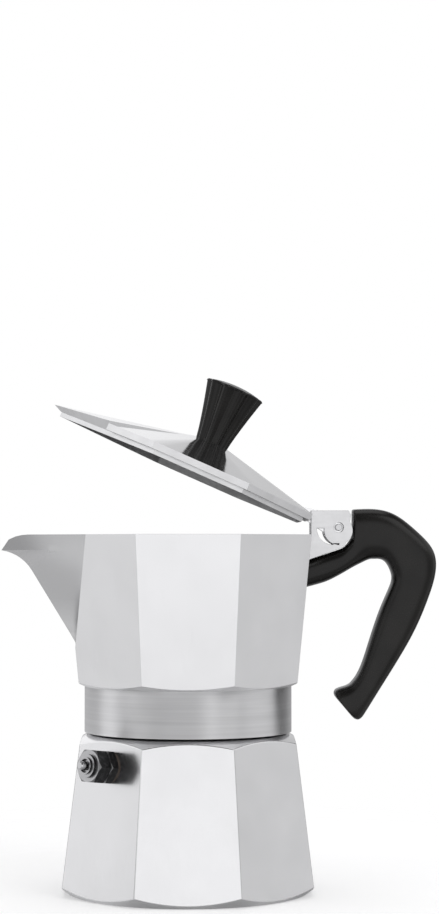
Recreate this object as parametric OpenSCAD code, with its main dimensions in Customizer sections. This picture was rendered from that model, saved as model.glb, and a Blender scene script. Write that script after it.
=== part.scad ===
// Eight-sided stovetop coffee maker: a boiler with a safety valve, a coffee
// funnel, a sealing ring with a filter plate, and an upper chamber that screws
// onto the boiler and carries the coffee column, the lid and the handle.
// Millimetres, +Z up, origin in the middle of the boiler's base, spout to -X.

/* [Boiler] */
// Circumradius of the boiler's octagon at the base
boiler_r_base = 47.1; // [46:0.1:50]
// Circumradius of the boiler's octagon at the top of the shoulder
boiler_r_top = 39.9; // [39:0.1:41.5]
// Height of the boiler up to the top of its shoulder
boiler_h = 55.2; // [53:0.1:62]
// Boiler wall in the middle of a facet
boiler_wall = 3; // [2.4:0.1:3.4]
// Thickness of the boiler's floor
boiler_floor = 3; // [2:0.1:4]
// Radius of the flat ring that the boiler stands on
foot_r = 42; // [39:0.1:43]
// Rise of the turned chamfer under the facets, per millimetre of radius
foot_slope = 0.75; // [0.5:0.05:1]
// Fall of the turned shoulder above the facets, per millimetre of radius
shoulder_slope = 0.52; // [0.4:0.02:0.65]

/* [Neck and thread] */
// Height of the boiler's neck above the shoulder
neck_h = 12.8; // [11.5:0.1:16]
// Bore of the neck, which takes the funnel
neck_bore_d = 57.8; // [56:0.1:58.4]
// Diameter over the crests of the neck's thread
thread_d = 66.2; // [65.4:0.1:67]
// Depth of the thread's profile
thread_depth = 1.05; // [0.8:0.05:1.2]
// Radial play between the thread's crests and the collar
thread_gap = 0.3; // [0.2:0.05:0.5]

/* [Safety valve] */
// Height of the valve's axis on its facet
valve_z = 45.4; // [40:0.1:46.5]
// Size of the valve's hexagon over its corners
valve_hex_d = 12.3; // [11:0.1:13]
// Length of the hexagon on the valve's body
valve_body_l = 3.4; // [3:0.1:4.5]
// Length of the hexagon on the valve's cap
valve_cap_l = 5.1; // [4:0.1:6]
// Diameter of the valve's threaded shank
valve_shank_d = 9; // [8:0.1:9.6]
// Diameter of the relief pin
valve_pin_d = 2.9; // [2:0.1:3.2]
// Outward travel of the relief pin
valve_travel = 1.5; // [1:0.1:1.8]

/* [Funnel] */
// Thickness of the funnel's aluminium
funnel_wall = 0.8; // [0.6:0.05:1]
// Depth of the coffee basket's straight side
basket_h = 18.6; // [16:0.1:20]
// Angle of the cone under the basket
cone_angle = 19; // [15:0.5:22]
// Outer diameter of the funnel's stem
stem_d = 10.9; // [9:0.1:12]
// Gap between the stem's end and the boiler's floor
stem_gap = 4; // [3:0.1:8]
// Thickness of the funnel's rim flange
flange_t = 0.6; // [0.5:0.05:0.9]

/* [Gasket and filter plate] */
// Outer diameter of the sealing ring and of the filter plate
seal_d = 61; // [60:0.1:62]
// Bore of the sealing ring
seal_bore_d = 46.4; // [44:0.1:50]
// Thickness of the sealing ring
gasket_t = 1.8; // [1.4:0.1:2.4]
// Thickness of the filter plate
plate_t = 0.5; // [0.4:0.05:0.8]
// Height of the filter plate's flared rim
plate_rim_h = 1.1; // [0.8:0.1:1.4]
// Rings of holes in the filter plate
plate_rings = 8; // [4:1:8]
// Diameter of a hole in the filter plate
plate_hole_d = 1; // [0.7:0.05:1.2]

/* [Upper chamber] */
// Distance across flats of the chamber at its foot
chamber_af_base = 75; // [74:0.1:77]
// Distance across flats of the chamber at its rim
chamber_af_rim = 85; // [83:0.1:87]
// Height of the chamber's facets, from the collar to the rim
chamber_h = 52.3; // [50:0.1:58]
// Wall of the chamber
chamber_wall = 2.6; // [2.2:0.1:3]
// Outer diameter of the round collar
collar_d = 72.4; // [71.4:0.1:73.4]
// Gap between the collar and the boiler's shoulder
collar_gap = 0.3; // [0.3:0.05:1]
// Thickness of the floor between the collar and the chamber
chamber_floor = 3.2; // [2.6:0.1:4]

/* [Spout] */
// Reach of the spout's tip from the axis
spout_reach = 65.6; // [62:0.1:68]
// Height of the straight part of the spout below the rim
spout_drop = 38.8; // [34:0.1:42]
// How far the sides of the spout take over from the diagonal facets at the rim
spout_spread = 7.6; // [5:0.1:9]
// Radius of the lip under the spout's tip
lip_r = 15; // [12:0.5:17]

/* [Coffee column] */
// Height of the column above the chamber's floor
column_h = 41; // [34:0.5:43]
// Diameter of the column at its shoulder
column_d = 12.6; // [12:0.1:14]
// Bore of the column
column_bore_d = 6; // [5:0.1:7]

/* [Lid] */
// Angle at which the lid stands open
lid_open = 23.9; // [0:0.1:60]
// How far the lid's edge stays inside the rim's outer edge
lid_inset = 0.6; // [0.3:0.1:1.2]
// Height of the lid's straight skirt
lid_skirt = 2.3; // [2:0.1:3]
// Height of the lid's pyramid up to the knob's seat
lid_rise = 9; // [8.4:0.1:10]
// Thickness of the lid
lid_t = 1.8; // [1.5:0.1:2.2]
// Reach of the lid's beak from the axis
beak_reach = 56; // [54:0.1:59]
// Depth of the lip under the lid, inside the rim
lid_lip = 1.6; // [1:0.1:2.2]
// Gap between the closed lid and the rim
lid_gap = 0.3; // [0.3:0.05:0.6]

/* [Knob] */
// Diameter of the knob at its foot
knob_d_base = 11.8; // [11:0.1:14]
// Diameter of the knob at its top
knob_d_top = 21.3; // [19:0.1:24]
// Height of the knob up to the edge of its top
knob_h = 20.8; // [17:0.1:24]
// Flutes around the knob
knob_flutes = 10; // [6:1:12]
// Depth of a flute as a share of the radius
flute_depth = 0.09; // [0.04:0.01:0.12]

/* [Hinge] */
// Distance of the hinge pin outside the rim's facet
hinge_reach = 10; // [9.8:0.1:11]
// Height of the hinge pin above the rim
hinge_rise = 2.5; // [2.3:0.1:3.2]
// Diameter of the hinge pin
hinge_pin_d = 2.5; // [2:0.1:3]
// Width of the lid's tongue
tongue_w = 7; // [5:0.1:8]
// Thickness of each cheek
cheek_t = 3; // [2.4:0.1:3.4]
// Radius of the cheeks round the pin
ear_r = 4.9; // [4.6:0.05:5.1]

/* [Handle] */
// Thickness of the handle
handle_w = 13; // [12:0.1:15]
// Reach of the handle behind the hinge pin
handle_reach = 34.4; // [33:0.1:36]
// Drop of the handle's tip below the hinge pin
handle_drop = 67.6; // [64:0.1:70]
// How square the handle's section is: 2 is an ellipse
handle_square = 3.4; // [2.6:0.1:4]
// Thickness of the tenon that carries the handle
tenon_w = 6; // [5:0.1:7]
// Diameter of the handle's screw
handle_screw_d = 4; // [3:0.1:4.5]

/* [Hidden] */
$fn = 96;

// clearances
slip = 0.25;          // radial play of a piece that drops into another
press = 0.02;         // radial play of a piece that is pressed or screwed in
running = 0.05;       // radial play of a pin in its bearing
part_gap = 0.3;       // play between pieces that pass each other
eps = 0.01;
far = 200;            // longer than anything in the pot

// octagon with facets across X and Y
corner = tan(22.5);   // half a side, per millimetre of apothem
function apothem(r) = r * cos(22.5);

// boiler
boiler_ap_base = apothem(boiler_r_base);
boiler_ap_top = apothem(boiler_r_top);
boiler_lean = atan((boiler_ap_base - boiler_ap_top) / boiler_h);
function boiler_ap(z) = boiler_ap_base + (boiler_ap_top - boiler_ap_base) * z / boiler_h;
neck_top = boiler_h + neck_h;
neck_r = thread_d / 2 - thread_depth;      // root of the thread
neck_bore_r = neck_bore_d / 2;
relief_h = 5.5;                            // plain, flared foot of the neck
relief_flare = 1.5;
neck_chamfer = 0.6;
shoulder_r = thread_d / 2 + relief_flare;

// safety valve, along its own axis from the facet outwards
washer_t = 0.6;
body_end = washer_t + valve_body_l;
groove_t = 0.25;
cap_end = body_end + groove_t + valve_cap_l;
boss_t = 1;
ring_t = 0.6;
shank_l = boiler_wall + 2.1;
seat_z = -shank_l + 2.6;                   // where the pin's piston seats
piston_t = 1.2;
piston_r = 2.6;
chamber_r = 3.2;                           // spring chamber
spring_end = body_end - 1.2;
spring_r = 2.15;
spring_wire = 0.45;
spring_turns = 3.5;
pin_out = 2.4;                             // how far the pin stands out of the cap

// funnel
flange_r = neck_bore_r + 0.55;
flange_seat = neck_top - flange_t;
basket_r = neck_bore_r - slip;
basket_round = 3;
basket_floor = flange_seat - basket_h;     // where the side starts to round in
stem_r = stem_d / 2;
stem_wall = 1;
stem_end = boiler_floor + stem_gap;
cone_top = basket_floor - basket_round * (1 - sin(cone_angle));
cone_r = basket_r - basket_round * (1 - cos(cone_angle)) * 2;
cone_end = cone_top - (cone_r - stem_r - 2) * tan(cone_angle);
screen_t = 0.6;

// gasket and plate
seal_r = seal_d / 2;
seal_bore_r = seal_bore_d / 2;
plate_z = neck_top + gasket_t;
plate_rim_w = 2.1;
plate_floor_r = seal_r - plate_rim_w;

// upper chamber
collar_r = collar_d / 2;
collar_z = boiler_h + collar_gap;
thread_bore_r = thread_d / 2 + thread_gap;
mouth_r = shoulder_r + part_gap;
seat_bore_r = seal_r + part_gap;
land_z = plate_z + plate_t;                // face that presses on the plate
land_r = plate_floor_r - 0.4;
recess_r = land_r - 2.2;
groove_z = land_z + plate_rim_h + 0.4;     // room over the plate's rim
step_z = neck_top + 0.4;                   // end of the thread bore
chamber_z = groove_z + 0.1;                // where collar and facets meet
rim_z = chamber_z + chamber_h;
floor_z = chamber_z + chamber_floor;
base_ap = chamber_af_base / 2;
rim_ap = chamber_af_rim / 2;
function chamber_ap(z) = base_ap + (rim_ap - base_ap) * (z - chamber_z) / chamber_h;
chamfer_slope = 0.42;

// spout: the section is the octagon with its -X side drawn out to a keel
spout_z = rim_z - spout_drop;
keel_angle = 58.5;                         // steepness of the keel's straight part
lip_end_angle = 8;                         // steepness of the keel at the tip
tip_z = rim_z - 5.5;
lip_flat = 9.8;                            // length of the rounded top of the tip
lip_start_x = -spout_reach + lip_r * (sin(keel_angle) - sin(lip_end_angle));
lip_start_z = tip_z - lip_r * (cos(lip_end_angle) - cos(keel_angle));
keel_foot_x = -chamber_ap(spout_z);

// column
boss_r = 8.5;
boss_h = 4;
spigot_r = 5;
column_top = floor_z + column_h;
column_r = column_d / 2;
column_bore_r = column_bore_d / 2;
column_foot = floor_z + boss_h;
recess_top = floor_z - 2;
window_h = 5;
cap_t = 1.4;

// lid, drawn closed
lid_z = rim_z + lid_gap;
lid_apex = 10.6;                             // height of the pyramid if it were whole
lid_land = chamber_wall + 1.7;             // width of the face over the rim
lip_play = 0.5;
lid_lip_t = lid_land - chamber_wall - lip_play + lid_inset;
beak_tip_h = 1.4;                          // height of the beak's side at its tip
beak_side_h = 3.2;                         // and where it leaves the lid's edge
seat_scale = 1 - lid_rise / lid_apex;

// knob
knob_z = lid_z + lid_skirt + lid_rise;
knob_dome = 1.2;
knob_screw_r = 2;
knob_bore_l = 10;
screw_head_r = 3.4;
screw_head_t = 2;
knob_washer_t = 0.8;

// hinge
pin_x = rim_ap + hinge_reach;
pin_z = rim_z + hinge_rise;
hinge_pin_r = hinge_pin_d / 2;
cheek_in = tongue_w / 2 + part_gap;
cheek_out = cheek_in + cheek_t;
cheek_top = 5.9;                           // of the cheeks above the pin
ear_drop = 1.1;                            // how far the ears' round hangs below the pin
tongue_r = 4.5;
cheek_foot = rim_ap + part_gap + 0.1;      // where the cheeks rise past the rim
notch_r = norm([pin_x - cheek_foot, cheek_top]) + part_gap;
slot_r = 5.75;                             // outer round of the slot in the cheeks
slot_x = -1.9;
slot_z = -0.3;

// handle: each row is a cut across it, [x, z] of its upper or outer edge and then
// [x, z] of its lower or inner edge, from the hinge pin
handle_gap = 0.25;
handle_face = ear_r + handle_gap;
arm_low = rim_z - 18.5;                    // lower end of the handle's seat on the chamber
arm_high = rim_z - 8.1;                    // foot of the hinge bracket on the chamber
bracket_x = 2.2;                           // tip of the hinge bracket, from the pin
bracket_z = -6.7;
function handle_root_cuts() = [
    [chamber_ap(arm_high) + handle_gap - pin_x, arm_high - pin_z - 0.9,
     chamber_ap(arm_low) + handle_gap - pin_x, arm_low - pin_z],
    [-4, -9.25, -7.5, -20],
    [1.6, -7.35, -3.6, -18.8],
    [2.6, -6.7, 0.8, -16.5],
    [4.9, -3.7, 4.2, -14.5],
    [handle_face, -2.8, 5.8, -13.6],
    [handle_face, 5.2, 8.6, -12],
    [handle_face, 6.35, 10.5, -10.8],
    [6.4, 6.4, 12, -10.4]
];
// the grip's cuts, as shares of the handle's reach and drop
grip_cuts = [
    [0.392, 0.102, 0.395, -0.151],
    [0.596, 0.083, 0.462, -0.154],
    [0.785, -0.010, 0.500, -0.180],
    [0.959, -0.092, 0.529, -0.234],
    [1.004, -0.155, 0.552, -0.266],
    [1.000, -0.256, 0.523, -0.305],
    [0.907, -0.388, 0.436, -0.393],
    [0.808, -0.522, 0.360, -0.488],
    [0.628, -0.675, 0.288, -0.614],
    [0.471, -0.799, 0.233, -0.723],
    [0.355, -0.893, 0.163, -0.793],
    [0.267, -0.964, 0.093, -0.818],
    [0.233, -0.994, -0.017, -0.831],
    [0.192, -1.003, -0.058, -0.836],
    [0.145, -0.982, -0.055, -0.855]
];
function handle_cuts() = concat(
    handle_root_cuts(),
    [for (c = grip_cuts) [c[0] * handle_reach, c[1] * handle_drop, c[2] * handle_reach, c[3] * handle_drop]]
);
screw_x = 10.5;                            // handle screw, from the hinge pin
screw_seat = -8.6;                         // face in the handle that its washer bears on
screw_tip = -2;
washer_r = 3.6;
screw_way = 20;                            // clear way below the screw, for its driver

// ---------------------------------------------------------------- geometry

function unit(v) = v / norm(v);
function left_normal(a, b) = let(d = unit(b - a)) [-d.y, d.x];

// A closed outline moved inwards by d, for corners that run anticlockwise.
function inset(pts, d) = [
    for (i = [0 : len(pts) - 1])
        let(
            p = pts[i],
            n1 = left_normal(pts[(i + len(pts) - 1) % len(pts)], p),
            n2 = left_normal(p, pts[(i + 1) % len(pts)])
        )
        p + d * (n1 + n2) / (1 + n1 * n2)
];

// The rows with every inner corner between them cut at a quarter and three
// quarters of each step, which rounds the run they describe.
function softened(rows) = [
    rows[0],
    for (i = [0 : len(rows) - 2])
        each [rows[i] * 0.75 + rows[i + 1] * 0.25, rows[i] * 0.25 + rows[i + 1] * 0.75],
    rows[len(rows) - 1]
];

// Stands a drawing in X and Z upright, centred on Y.
module upright(width) {
    rotate([90, 0, 0]) linear_extrude(width, center = true) children();
}

// Eight-sided frustum with flat sides, from half-width a0 at z0 to a1 at z1.
module octagon_taper(a0, z0, a1, z1) {
    intersection_for (turn = [0 : 45 : 135])
        rotate([0, 0, turn])
            upright(far) polygon([[-a0, z0], [a0, z0], [a1, z1], [-a1, z1]]);
}

// Solid through a stack of closed outlines with equally many corners.
module loft(outlines, heights) {
    n = len(outlines[0]);
    last = len(outlines) - 1;
    points = [for (k = [0 : last]) each [for (p = outlines[k]) [p.x, p.y, heights[k]]]];
    sides = [
        for (k = [0 : last - 1], i = [0 : n - 1])
            let(j = (i + 1) % n)
            each [
                [k * n + i, (k + 1) * n + i, k * n + j],
                [k * n + j, (k + 1) * n + i, (k + 1) * n + j]
            ]
    ];
    bottom = [for (i = [0 : n - 1]) i];
    top = [for (i = [n - 1 : -1 : 0]) last * n + i];
    polyhedron(points, concat([bottom], sides, [top]), convexity = 6);
}

// ---------------------------------------------------------------- boiler

module boiler() {
    color("silver") difference() {
        union() {
            intersection() {
                octagon_taper(boiler_ap_base, 0, boiler_ap_top, boiler_h);
                rotate_extrude() boiler_envelope();
            }
            rotate_extrude() neck_profile();
        }
        rotate_extrude() boiler_cavity();
        at_valve() cylinder(r = valve_shank_d / 2 + press, h = far / 8, center = true);
    }
}

// The turned chamfer at the foot and the turned shoulder.
module boiler_envelope() {
    wide = boiler_r_base + 10;
    polygon([
        [0, 0],
        [foot_r, 0],
        [wide, (wide - foot_r) * foot_slope],
        [wide, boiler_h - (wide - shoulder_r) * shoulder_slope],
        [shoulder_r, boiler_h],
        [0, boiler_h]
    ]);
}

// The neck: a concave flare from the shoulder, then the thread's core.
module neck_profile() {
    flare = [
        for (t = [0 : 15 : 90])
            [thread_d / 2 + relief_flare * (1 - sin(t)), boiler_h + relief_h * (1 - cos(t))]
    ];
    polygon(concat(
        [[neck_bore_r - 2, boiler_h - 3], [shoulder_r - 1, boiler_h - 3]],
        flare,
        [
            [neck_r, boiler_h + relief_h + 0.4],
            [neck_r, neck_top - neck_chamfer],
            [neck_r - neck_chamfer, neck_top],
            [neck_bore_r - 2, neck_top]
        ]
    ));
}

// The water space, the neck's bore and the rebate for the funnel's flange.
module boiler_cavity() {
    fillet = 3;
    low_r = boiler_ap(boiler_floor) - boiler_wall;
    ceiling_z = boiler_h - 5.5;
    high_r = boiler_ap(ceiling_z) - boiler_wall;
    polygon([
        [0, boiler_floor],
        [low_r - fillet, boiler_floor],
        [low_r - fillet * 0.3, boiler_floor + fillet * 0.3],
        [low_r - 0.2, boiler_floor + fillet],
        [high_r, ceiling_z],
        [neck_bore_r, ceiling_z + (high_r - neck_bore_r) * shoulder_slope],
        [neck_bore_r, flange_seat],
        [flange_r + slip, flange_seat],
        [flange_r + slip, neck_top + 1],
        [0, neck_top + 1]
    ]);
}

// ---------------------------------------------------------------- safety valve

// Local +Z runs out of the front left facet, square to it.
module at_valve() {
    rotate([0, 0, 225])
        translate([boiler_ap(valve_z), 0, valve_z])
            rotate([0, 90 - boiler_lean, 0])
                children();
}

// Hexagon prism with turned chamfers at both ends.
module valve_hexagon(z0, z1) {
    chamfer = valve_hex_d / 2 * (1 - cos(30));
    intersection() {
        translate([0, 0, z0]) rotate([0, 0, 30]) cylinder(d = valve_hex_d, h = z1 - z0, $fn = 6);
        rotate_extrude() polygon([
            [0, z0],
            [valve_hex_d / 2 - chamfer, z0],
            [valve_hex_d / 2, z0 + chamfer * 0.6],
            [valve_hex_d / 2, z1 - chamfer * 0.6],
            [valve_hex_d / 2 - chamfer, z1],
            [0, z1]
        ]);
    }
}

module valve_body() {
    color("dimgray") at_valve() difference() {
        union() {
            valve_hexagon(washer_t, body_end);
            translate([0, 0, -shank_l]) cylinder(d = valve_shank_d, h = shank_l + washer_t + eps);
        }
        translate([0, 0, seat_z]) cylinder(r = chamber_r, h = far / 8);
        cylinder(d = valve_pin_d - 0.3, h = far / 8, center = true);
    }
}

module valve_washer() {
    color("saddlebrown") at_valve() difference() {
        cylinder(d = valve_hex_d * cos(30), h = washer_t);
        translate([0, 0, -1]) cylinder(r = valve_shank_d / 2 + running, h = washer_t + 2);
    }
}

module valve_cap() {
    boss_r = valve_hex_d * 0.32;
    ring_r = boss_r - 1.1;
    color("dimgray") at_valve() difference() {
        union() {
            translate([0, 0, spring_end]) cylinder(r = chamber_r - running, h = body_end - spring_end + eps);
            translate([0, 0, body_end]) cylinder(d = valve_hex_d * 0.8, h = groove_t + eps);
            valve_hexagon(body_end + groove_t, cap_end);
            translate([0, 0, cap_end - eps]) cylinder(r = boss_r, h = boss_t + eps);
            translate([0, 0, cap_end + boss_t - eps]) cylinder(r = ring_r, h = ring_t + eps);
        }
        cylinder(r = valve_pin_d / 2 + running, h = far / 8, center = true);
        translate([0, 0, cap_end + boss_t - 0.4]) cylinder(r = ring_r - 0.5, h = ring_t + 1);
    }
}

// Wire swept along a helix between the piston and the cap.
module valve_spring() {
    sides = 6;
    steps = 12;
    rings = spring_turns * steps;
    bottom = seat_z + piston_t + spring_wire / 2 + running;
    rise = spring_end - spring_wire / 2 - running - bottom;
    points = [
        for (k = [0 : rings], s = [0 : sides - 1])
            let(
                turn = k * 360 / steps,
                around = s * 360 / sides,
                r = spring_r + spring_wire / 2 * cos(around)
            )
            [r * cos(turn), r * sin(turn), bottom + rise * k / rings + spring_wire / 2 * sin(around)]
    ];
    faces = [
        for (k = [0 : rings - 1], s = [0 : sides - 1])
            let(t = (s + 1) % sides)
            each [
                [k * sides + s, (k + 1) * sides + s, k * sides + t],
                [k * sides + t, (k + 1) * sides + s, (k + 1) * sides + t]
            ]
    ];
    start = [for (s = [0 : sides - 1]) s];
    end = [for (s = [sides - 1 : -1 : 0]) rings * sides + s];
    color("gainsboro") at_valve() polyhedron(points, concat([start], faces, [end]), convexity = 8);
}

// The relief pin: a piston on the valve's seat and a stem out through the cap.
module valve_pin() {
    tip = cap_end + boss_t + ring_t + pin_out;
    color("gainsboro") at_valve() rotate_extrude() polygon([
        [0, seat_z],
        [piston_r, seat_z],
        [piston_r, seat_z + piston_t],
        [valve_pin_d / 2, seat_z + piston_t],
        [valve_pin_d / 2, tip - 0.4],
        [valve_pin_d / 2 - 0.4, tip],
        [0, tip]
    ]);
}

// ---------------------------------------------------------------- funnel

module funnel_basket() {
    color("lightgray") rotate_extrude() difference() {
        funnel_outline(0);
        funnel_outline(funnel_wall);
    }
}

// Half outline of the basket and its cone; wall moves it inwards.
module funnel_outline(wall) {
    open = wall > 0;
    r = basket_r - wall;
    bend = basket_round - wall;
    bend_z = basket_floor;
    low = stem_r + running;
    arc = [
        for (t = [0 : 15 : 90 - cone_angle])
            [r - bend * (1 - cos(t)), bend_z - bend * sin(t)]
    ];
    last = arc[len(arc) - 1];
    neck_x = stem_r + 0.9 - wall;
    cone_x = stem_r + 4;
    cone_z = last.y - (last.x - cone_x) * tan(cone_angle);
    polygon(concat(
        [[0, neck_top + (open ? 1 : 0)], [open ? r : flange_r, neck_top + (open ? 1 : 0)]],
        open ? [] : [[flange_r, flange_seat], [basket_r, flange_seat]],
        arc,
        [
            [cone_x, cone_z],
            [neck_x + 1, cone_z - 2.2],
            [open ? low : neck_x, cone_z - 4.4],
            [open ? low : neck_x, cone_z - (open ? 12 : 7)],
            [open ? 0 : 0, cone_z - (open ? 12 : 7)]
        ]
    ));
}

function stem_top() = basket_floor - basket_round - (basket_r - stem_r - 4) * tan(cone_angle) - 4.4;

module funnel_stem() {
    color("lightgray") difference() {
        translate([0, 0, stem_end]) cylinder(r = stem_r, h = stem_top() - stem_end);
        translate([0, 0, stem_end - 1]) cylinder(r = stem_r - stem_wall, h = far / 2);
    }
}

// Perforated disc that rests on the rounded foot of the basket.
module funnel_screen() {
    bend = basket_round - funnel_wall;
    r = basket_r - funnel_wall - bend * (1 - cos(45));
    z = basket_floor - bend * sin(45);
    color("silver") difference() {
        translate([0, 0, z]) cylinder(r = r, h = screen_t);
        for (ring = [1 : 5], i = [0 : ring * 6 - 1])
            rotate([0, 0, i * 60 / ring])
                translate([ring * r / 5.8, 0, z - 1])
                    cylinder(d = 1.6, h = screen_t + 2, $fn = 24);
    }
}

// ---------------------------------------------------------------- seal

module gasket() {
    color("whitesmoke") translate([0, 0, neck_top]) difference() {
        cylinder(r = seal_r, h = gasket_t);
        translate([0, 0, -1]) cylinder(r = seal_bore_r, h = gasket_t + 2);
    }
}

// Dished disc with a flared rim and rings of small holes.
module filter_plate() {
    pitch = (plate_floor_r - 2) / plate_rings;
    color("silver") translate([0, 0, plate_z]) difference() {
        rotate_extrude() polygon([
            [0, 0],
            [plate_floor_r, 0],
            [seal_r, plate_rim_h],
            [seal_r, plate_rim_h + plate_t],
            [seal_r - plate_t, plate_rim_h + plate_t],
            [plate_floor_r - plate_t / 2, plate_t],
            [0, plate_t]
        ]);
        for (ring = [1 : plate_rings], i = [0 : ring * 6 - 1])
            rotate([0, 0, i * 60 / ring])
                translate([ring * pitch, 0, -1])
                    cylinder(d = plate_hole_d, h = plate_t + 2, $fn = 16);
    }
}

// ---------------------------------------------------------------- upper chamber

// Outline of the chamber: the octagon of half-width ap, with its -X side drawn
// from x = shoulder on the diagonal facets out to a keel at x = keel.
function chamber_outline(ap, shoulder, keel) =
    let(y = ap * sqrt(2) + shoulder, c = ap * corner)
    [
        [ap, -c], [ap, c], [c, ap], [-c, ap], [shoulder, y],
        [keel, 0],
        [shoulder, -y], [-c, -ap], [c, -ap]
    ];

// Where the spout's sides leave the diagonal facets at height z.
function spout_shoulder(z) =
    z <= spout_z ? -chamber_ap(z)
    : keel_foot_x + (spout_spread - (rim_ap + keel_foot_x)) * (z - spout_z) / spout_drop;

// The keel as [x, z] points: straight, then curling out to the tip.
function keel_points() = concat(
    [
        for (i = [0 : 5])
            let(t = i / 6)
            [keel_foot_x + (lip_start_x - keel_foot_x) * t, spout_z + (lip_start_z - spout_z) * t]
    ],
    [
        for (i = [0 : 6])
            let(a = keel_angle + (lip_end_angle - keel_angle) * i / 6)
            [
                lip_start_x - lip_r * (sin(keel_angle) - sin(a)),
                lip_start_z + lip_r * (cos(a) - cos(keel_angle))
            ]
    ]
);

// The chamber's outside (wall = 0) or inside, from z0 up past the rim.
module chamber_form(wall, z0, z1) {
    keel = keel_points();
    tip = keel[len(keel) - 1];
    low = chamber_outline(chamber_ap(z0), -chamber_ap(z0), -chamber_ap(z0));
    middle = [
        for (k = keel)
            chamber_outline(chamber_ap(k.y), spout_shoulder(k.y), k.x)
    ];
    high = chamber_outline(chamber_ap(z1), spout_shoulder(z1), tip.x);
    outlines = concat([low], middle, [high]);
    loft([for (o = outlines) inset(o, wall)], concat([z0], [for (k = keel) k.y], [z1]));
}

module upper_chamber() {
    color("silver") difference() {
        union() {
            difference() {
                intersection() {
                    chamber_form(0, chamber_z - 1, rim_z);
                    rotate_extrude() chamber_envelope();
                }
                chamber_form(chamber_wall, floor_z, rim_z + 1);
                lip_cut();
            }
            translate([0, 0, collar_z]) cylinder(r = collar_r, h = floor_z - 1 - collar_z);
            translate([0, 0, floor_z - 1]) cylinder(r = boss_r, h = boss_h + 1);
            for (side = [-1, 1])
                translate([0, side * (cheek_in + cheek_out) / 2, 0]) upright(cheek_t) cheek_profile();
            upright(2 * cheek_in + eps) bridge_profile();
            upright(tenon_w) polygon(tenon_points());
        }
        rotate_extrude() collar_void();
        translate([pin_x, 0, pin_z]) rotate([90, 0, 0])
            cylinder(r = hinge_pin_r + press, h = far, center = true);
        translate([pin_x + screw_x, 0, pin_z - screw_way])
            cylinder(r = handle_screw_d / 2 + press, h = screw_way + screw_tip + 0.5);
    }
}

// Keeps the facets clear of the collar below a turned chamfer.
module chamber_envelope() {
    wide = rim_ap * 2;
    polygon([
        [0, chamber_z - 0.5],
        [collar_r, chamber_z - 0.5],
        [wide, chamber_z - 0.5 + (wide - collar_r) * chamfer_slope],
        [wide, rim_z],
        [0, rim_z]
    ]);
}

// What is turned out of the collar, from its mouth up to the column's bore.
module collar_void() {
    polygon([
        [0, collar_z - 1],
        [mouth_r, collar_z - 1],
        [mouth_r, collar_z + relief_h - 2.5],
        [thread_bore_r, collar_z + relief_h],
        [thread_bore_r, step_z],
        [seat_bore_r, step_z],
        [seat_bore_r, groove_z],
        [land_r, groove_z],
        [land_r, land_z],
        [recess_r, land_z],
        [recess_r - 2, land_z + 0.8],
        [spigot_r, recess_top],
        [spigot_r, column_foot + 1],
        [0, column_foot + 1]
    ]);
}

// Rounds the spout's tip off along a quarter of an ellipse.
module lip_cut() {
    drop = rim_z - tip_z;
    start = -spout_reach + lip_flat;
    arc = [for (t = [90 : 7.5 : 180]) [start + lip_flat * cos(t), tip_z + drop * sin(t)]];
    upright(far) polygon(concat(
        [[start, rim_z + 2], [-spout_reach - 5, rim_z + 2], [-spout_reach - 5, tip_z]],
        [for (i = [len(arc) - 1 : -1 : 0]) arc[i]]
    ));
}

// A cheek of the hinge: an ear round the pin, a bar to the chamber and a bracket
// under both, with a curved slot below the ear.
module cheek_profile() {
    root = rim_ap - chamber_wall / 2;
    difference() {
        union() {
            polygon([
                [root, arm_high - 0.6], [cheek_foot, arm_high - 0.4],
                [pin_x + bracket_x, pin_z + bracket_z],
                [pin_x + ear_r - 0.5, pin_z + cheek_top - 1.4],
                [pin_x + ear_r - 1.5, pin_z + cheek_top],
                [cheek_foot, pin_z + cheek_top], [cheek_foot, rim_z - 0.3], [root, rim_z - 0.3]
            ]);
            translate([pin_x, pin_z - ear_drop]) circle(r = ear_r);
        }
        difference() {
            intersection() {
                translate([pin_x + slot_x, pin_z + slot_z]) circle(r = slot_r);
                translate([pin_x - far, pin_z + slot_z - far]) square(far);
            }
            translate([pin_x, pin_z - ear_drop]) circle(r = ear_r + 0.15);
        }
    }
}

// Solid between the cheeks, below the tongue.
module bridge_profile() {
    root = rim_ap - chamber_wall / 2;
    polygon([
        [root, arm_high - 0.6], [cheek_foot, arm_high - 0.4],
        [pin_x + bracket_x, pin_z + bracket_z], [pin_x + 1.5, pin_z - 5.7],
        [pin_x - 5, pin_z - 6.2], [root, pin_z - 6.8]
    ]);
}

// The tenon under the bridge, which the handle is screwed to; anticlockwise.
function tenon_points() = [
    [base_ap + 2, arm_low + 2.5],
    [pin_x + 4, pin_z - 9.6],
    [pin_x + 14.6, pin_z - 5.4],
    [pin_x + 14, pin_z + 0.8],
    [pin_x + 6, pin_z - 4.2],
    [pin_x + 1.6, pin_z - 6.3],
    [base_ap + 3, arm_high - 0.6]
];

// ---------------------------------------------------------------- coffee column

module coffee_column() {
    color("silver") difference() {
        rotate_extrude() polygon([
            [0, recess_top + 0.4],
            [spigot_r - press, recess_top + 0.4],
            [spigot_r - press, column_foot],
            [column_r, column_foot],
            [column_r, column_foot + 1],
            [column_r - 1.4, column_top],
            [0, column_top]
        ]);
        cylinder(r = column_bore_r, h = far);
        translate([0, 0, column_top - cap_t - window_h / 2 - 1.6])
            cube([column_bore_r, far, window_h], center = true);
    }
}

module column_cap() {
    color("silver") rotate_extrude() polygon([
        [0, column_top - cap_t],
        [column_bore_r - press, column_top - cap_t],
        [column_bore_r - press, column_top],
        [column_r - 1.4, column_top],
        [column_r - 1.9, column_top + 0.9],
        [0, column_top + 1.3]
    ]);
}

// ---------------------------------------------------------------- lid and knob

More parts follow.
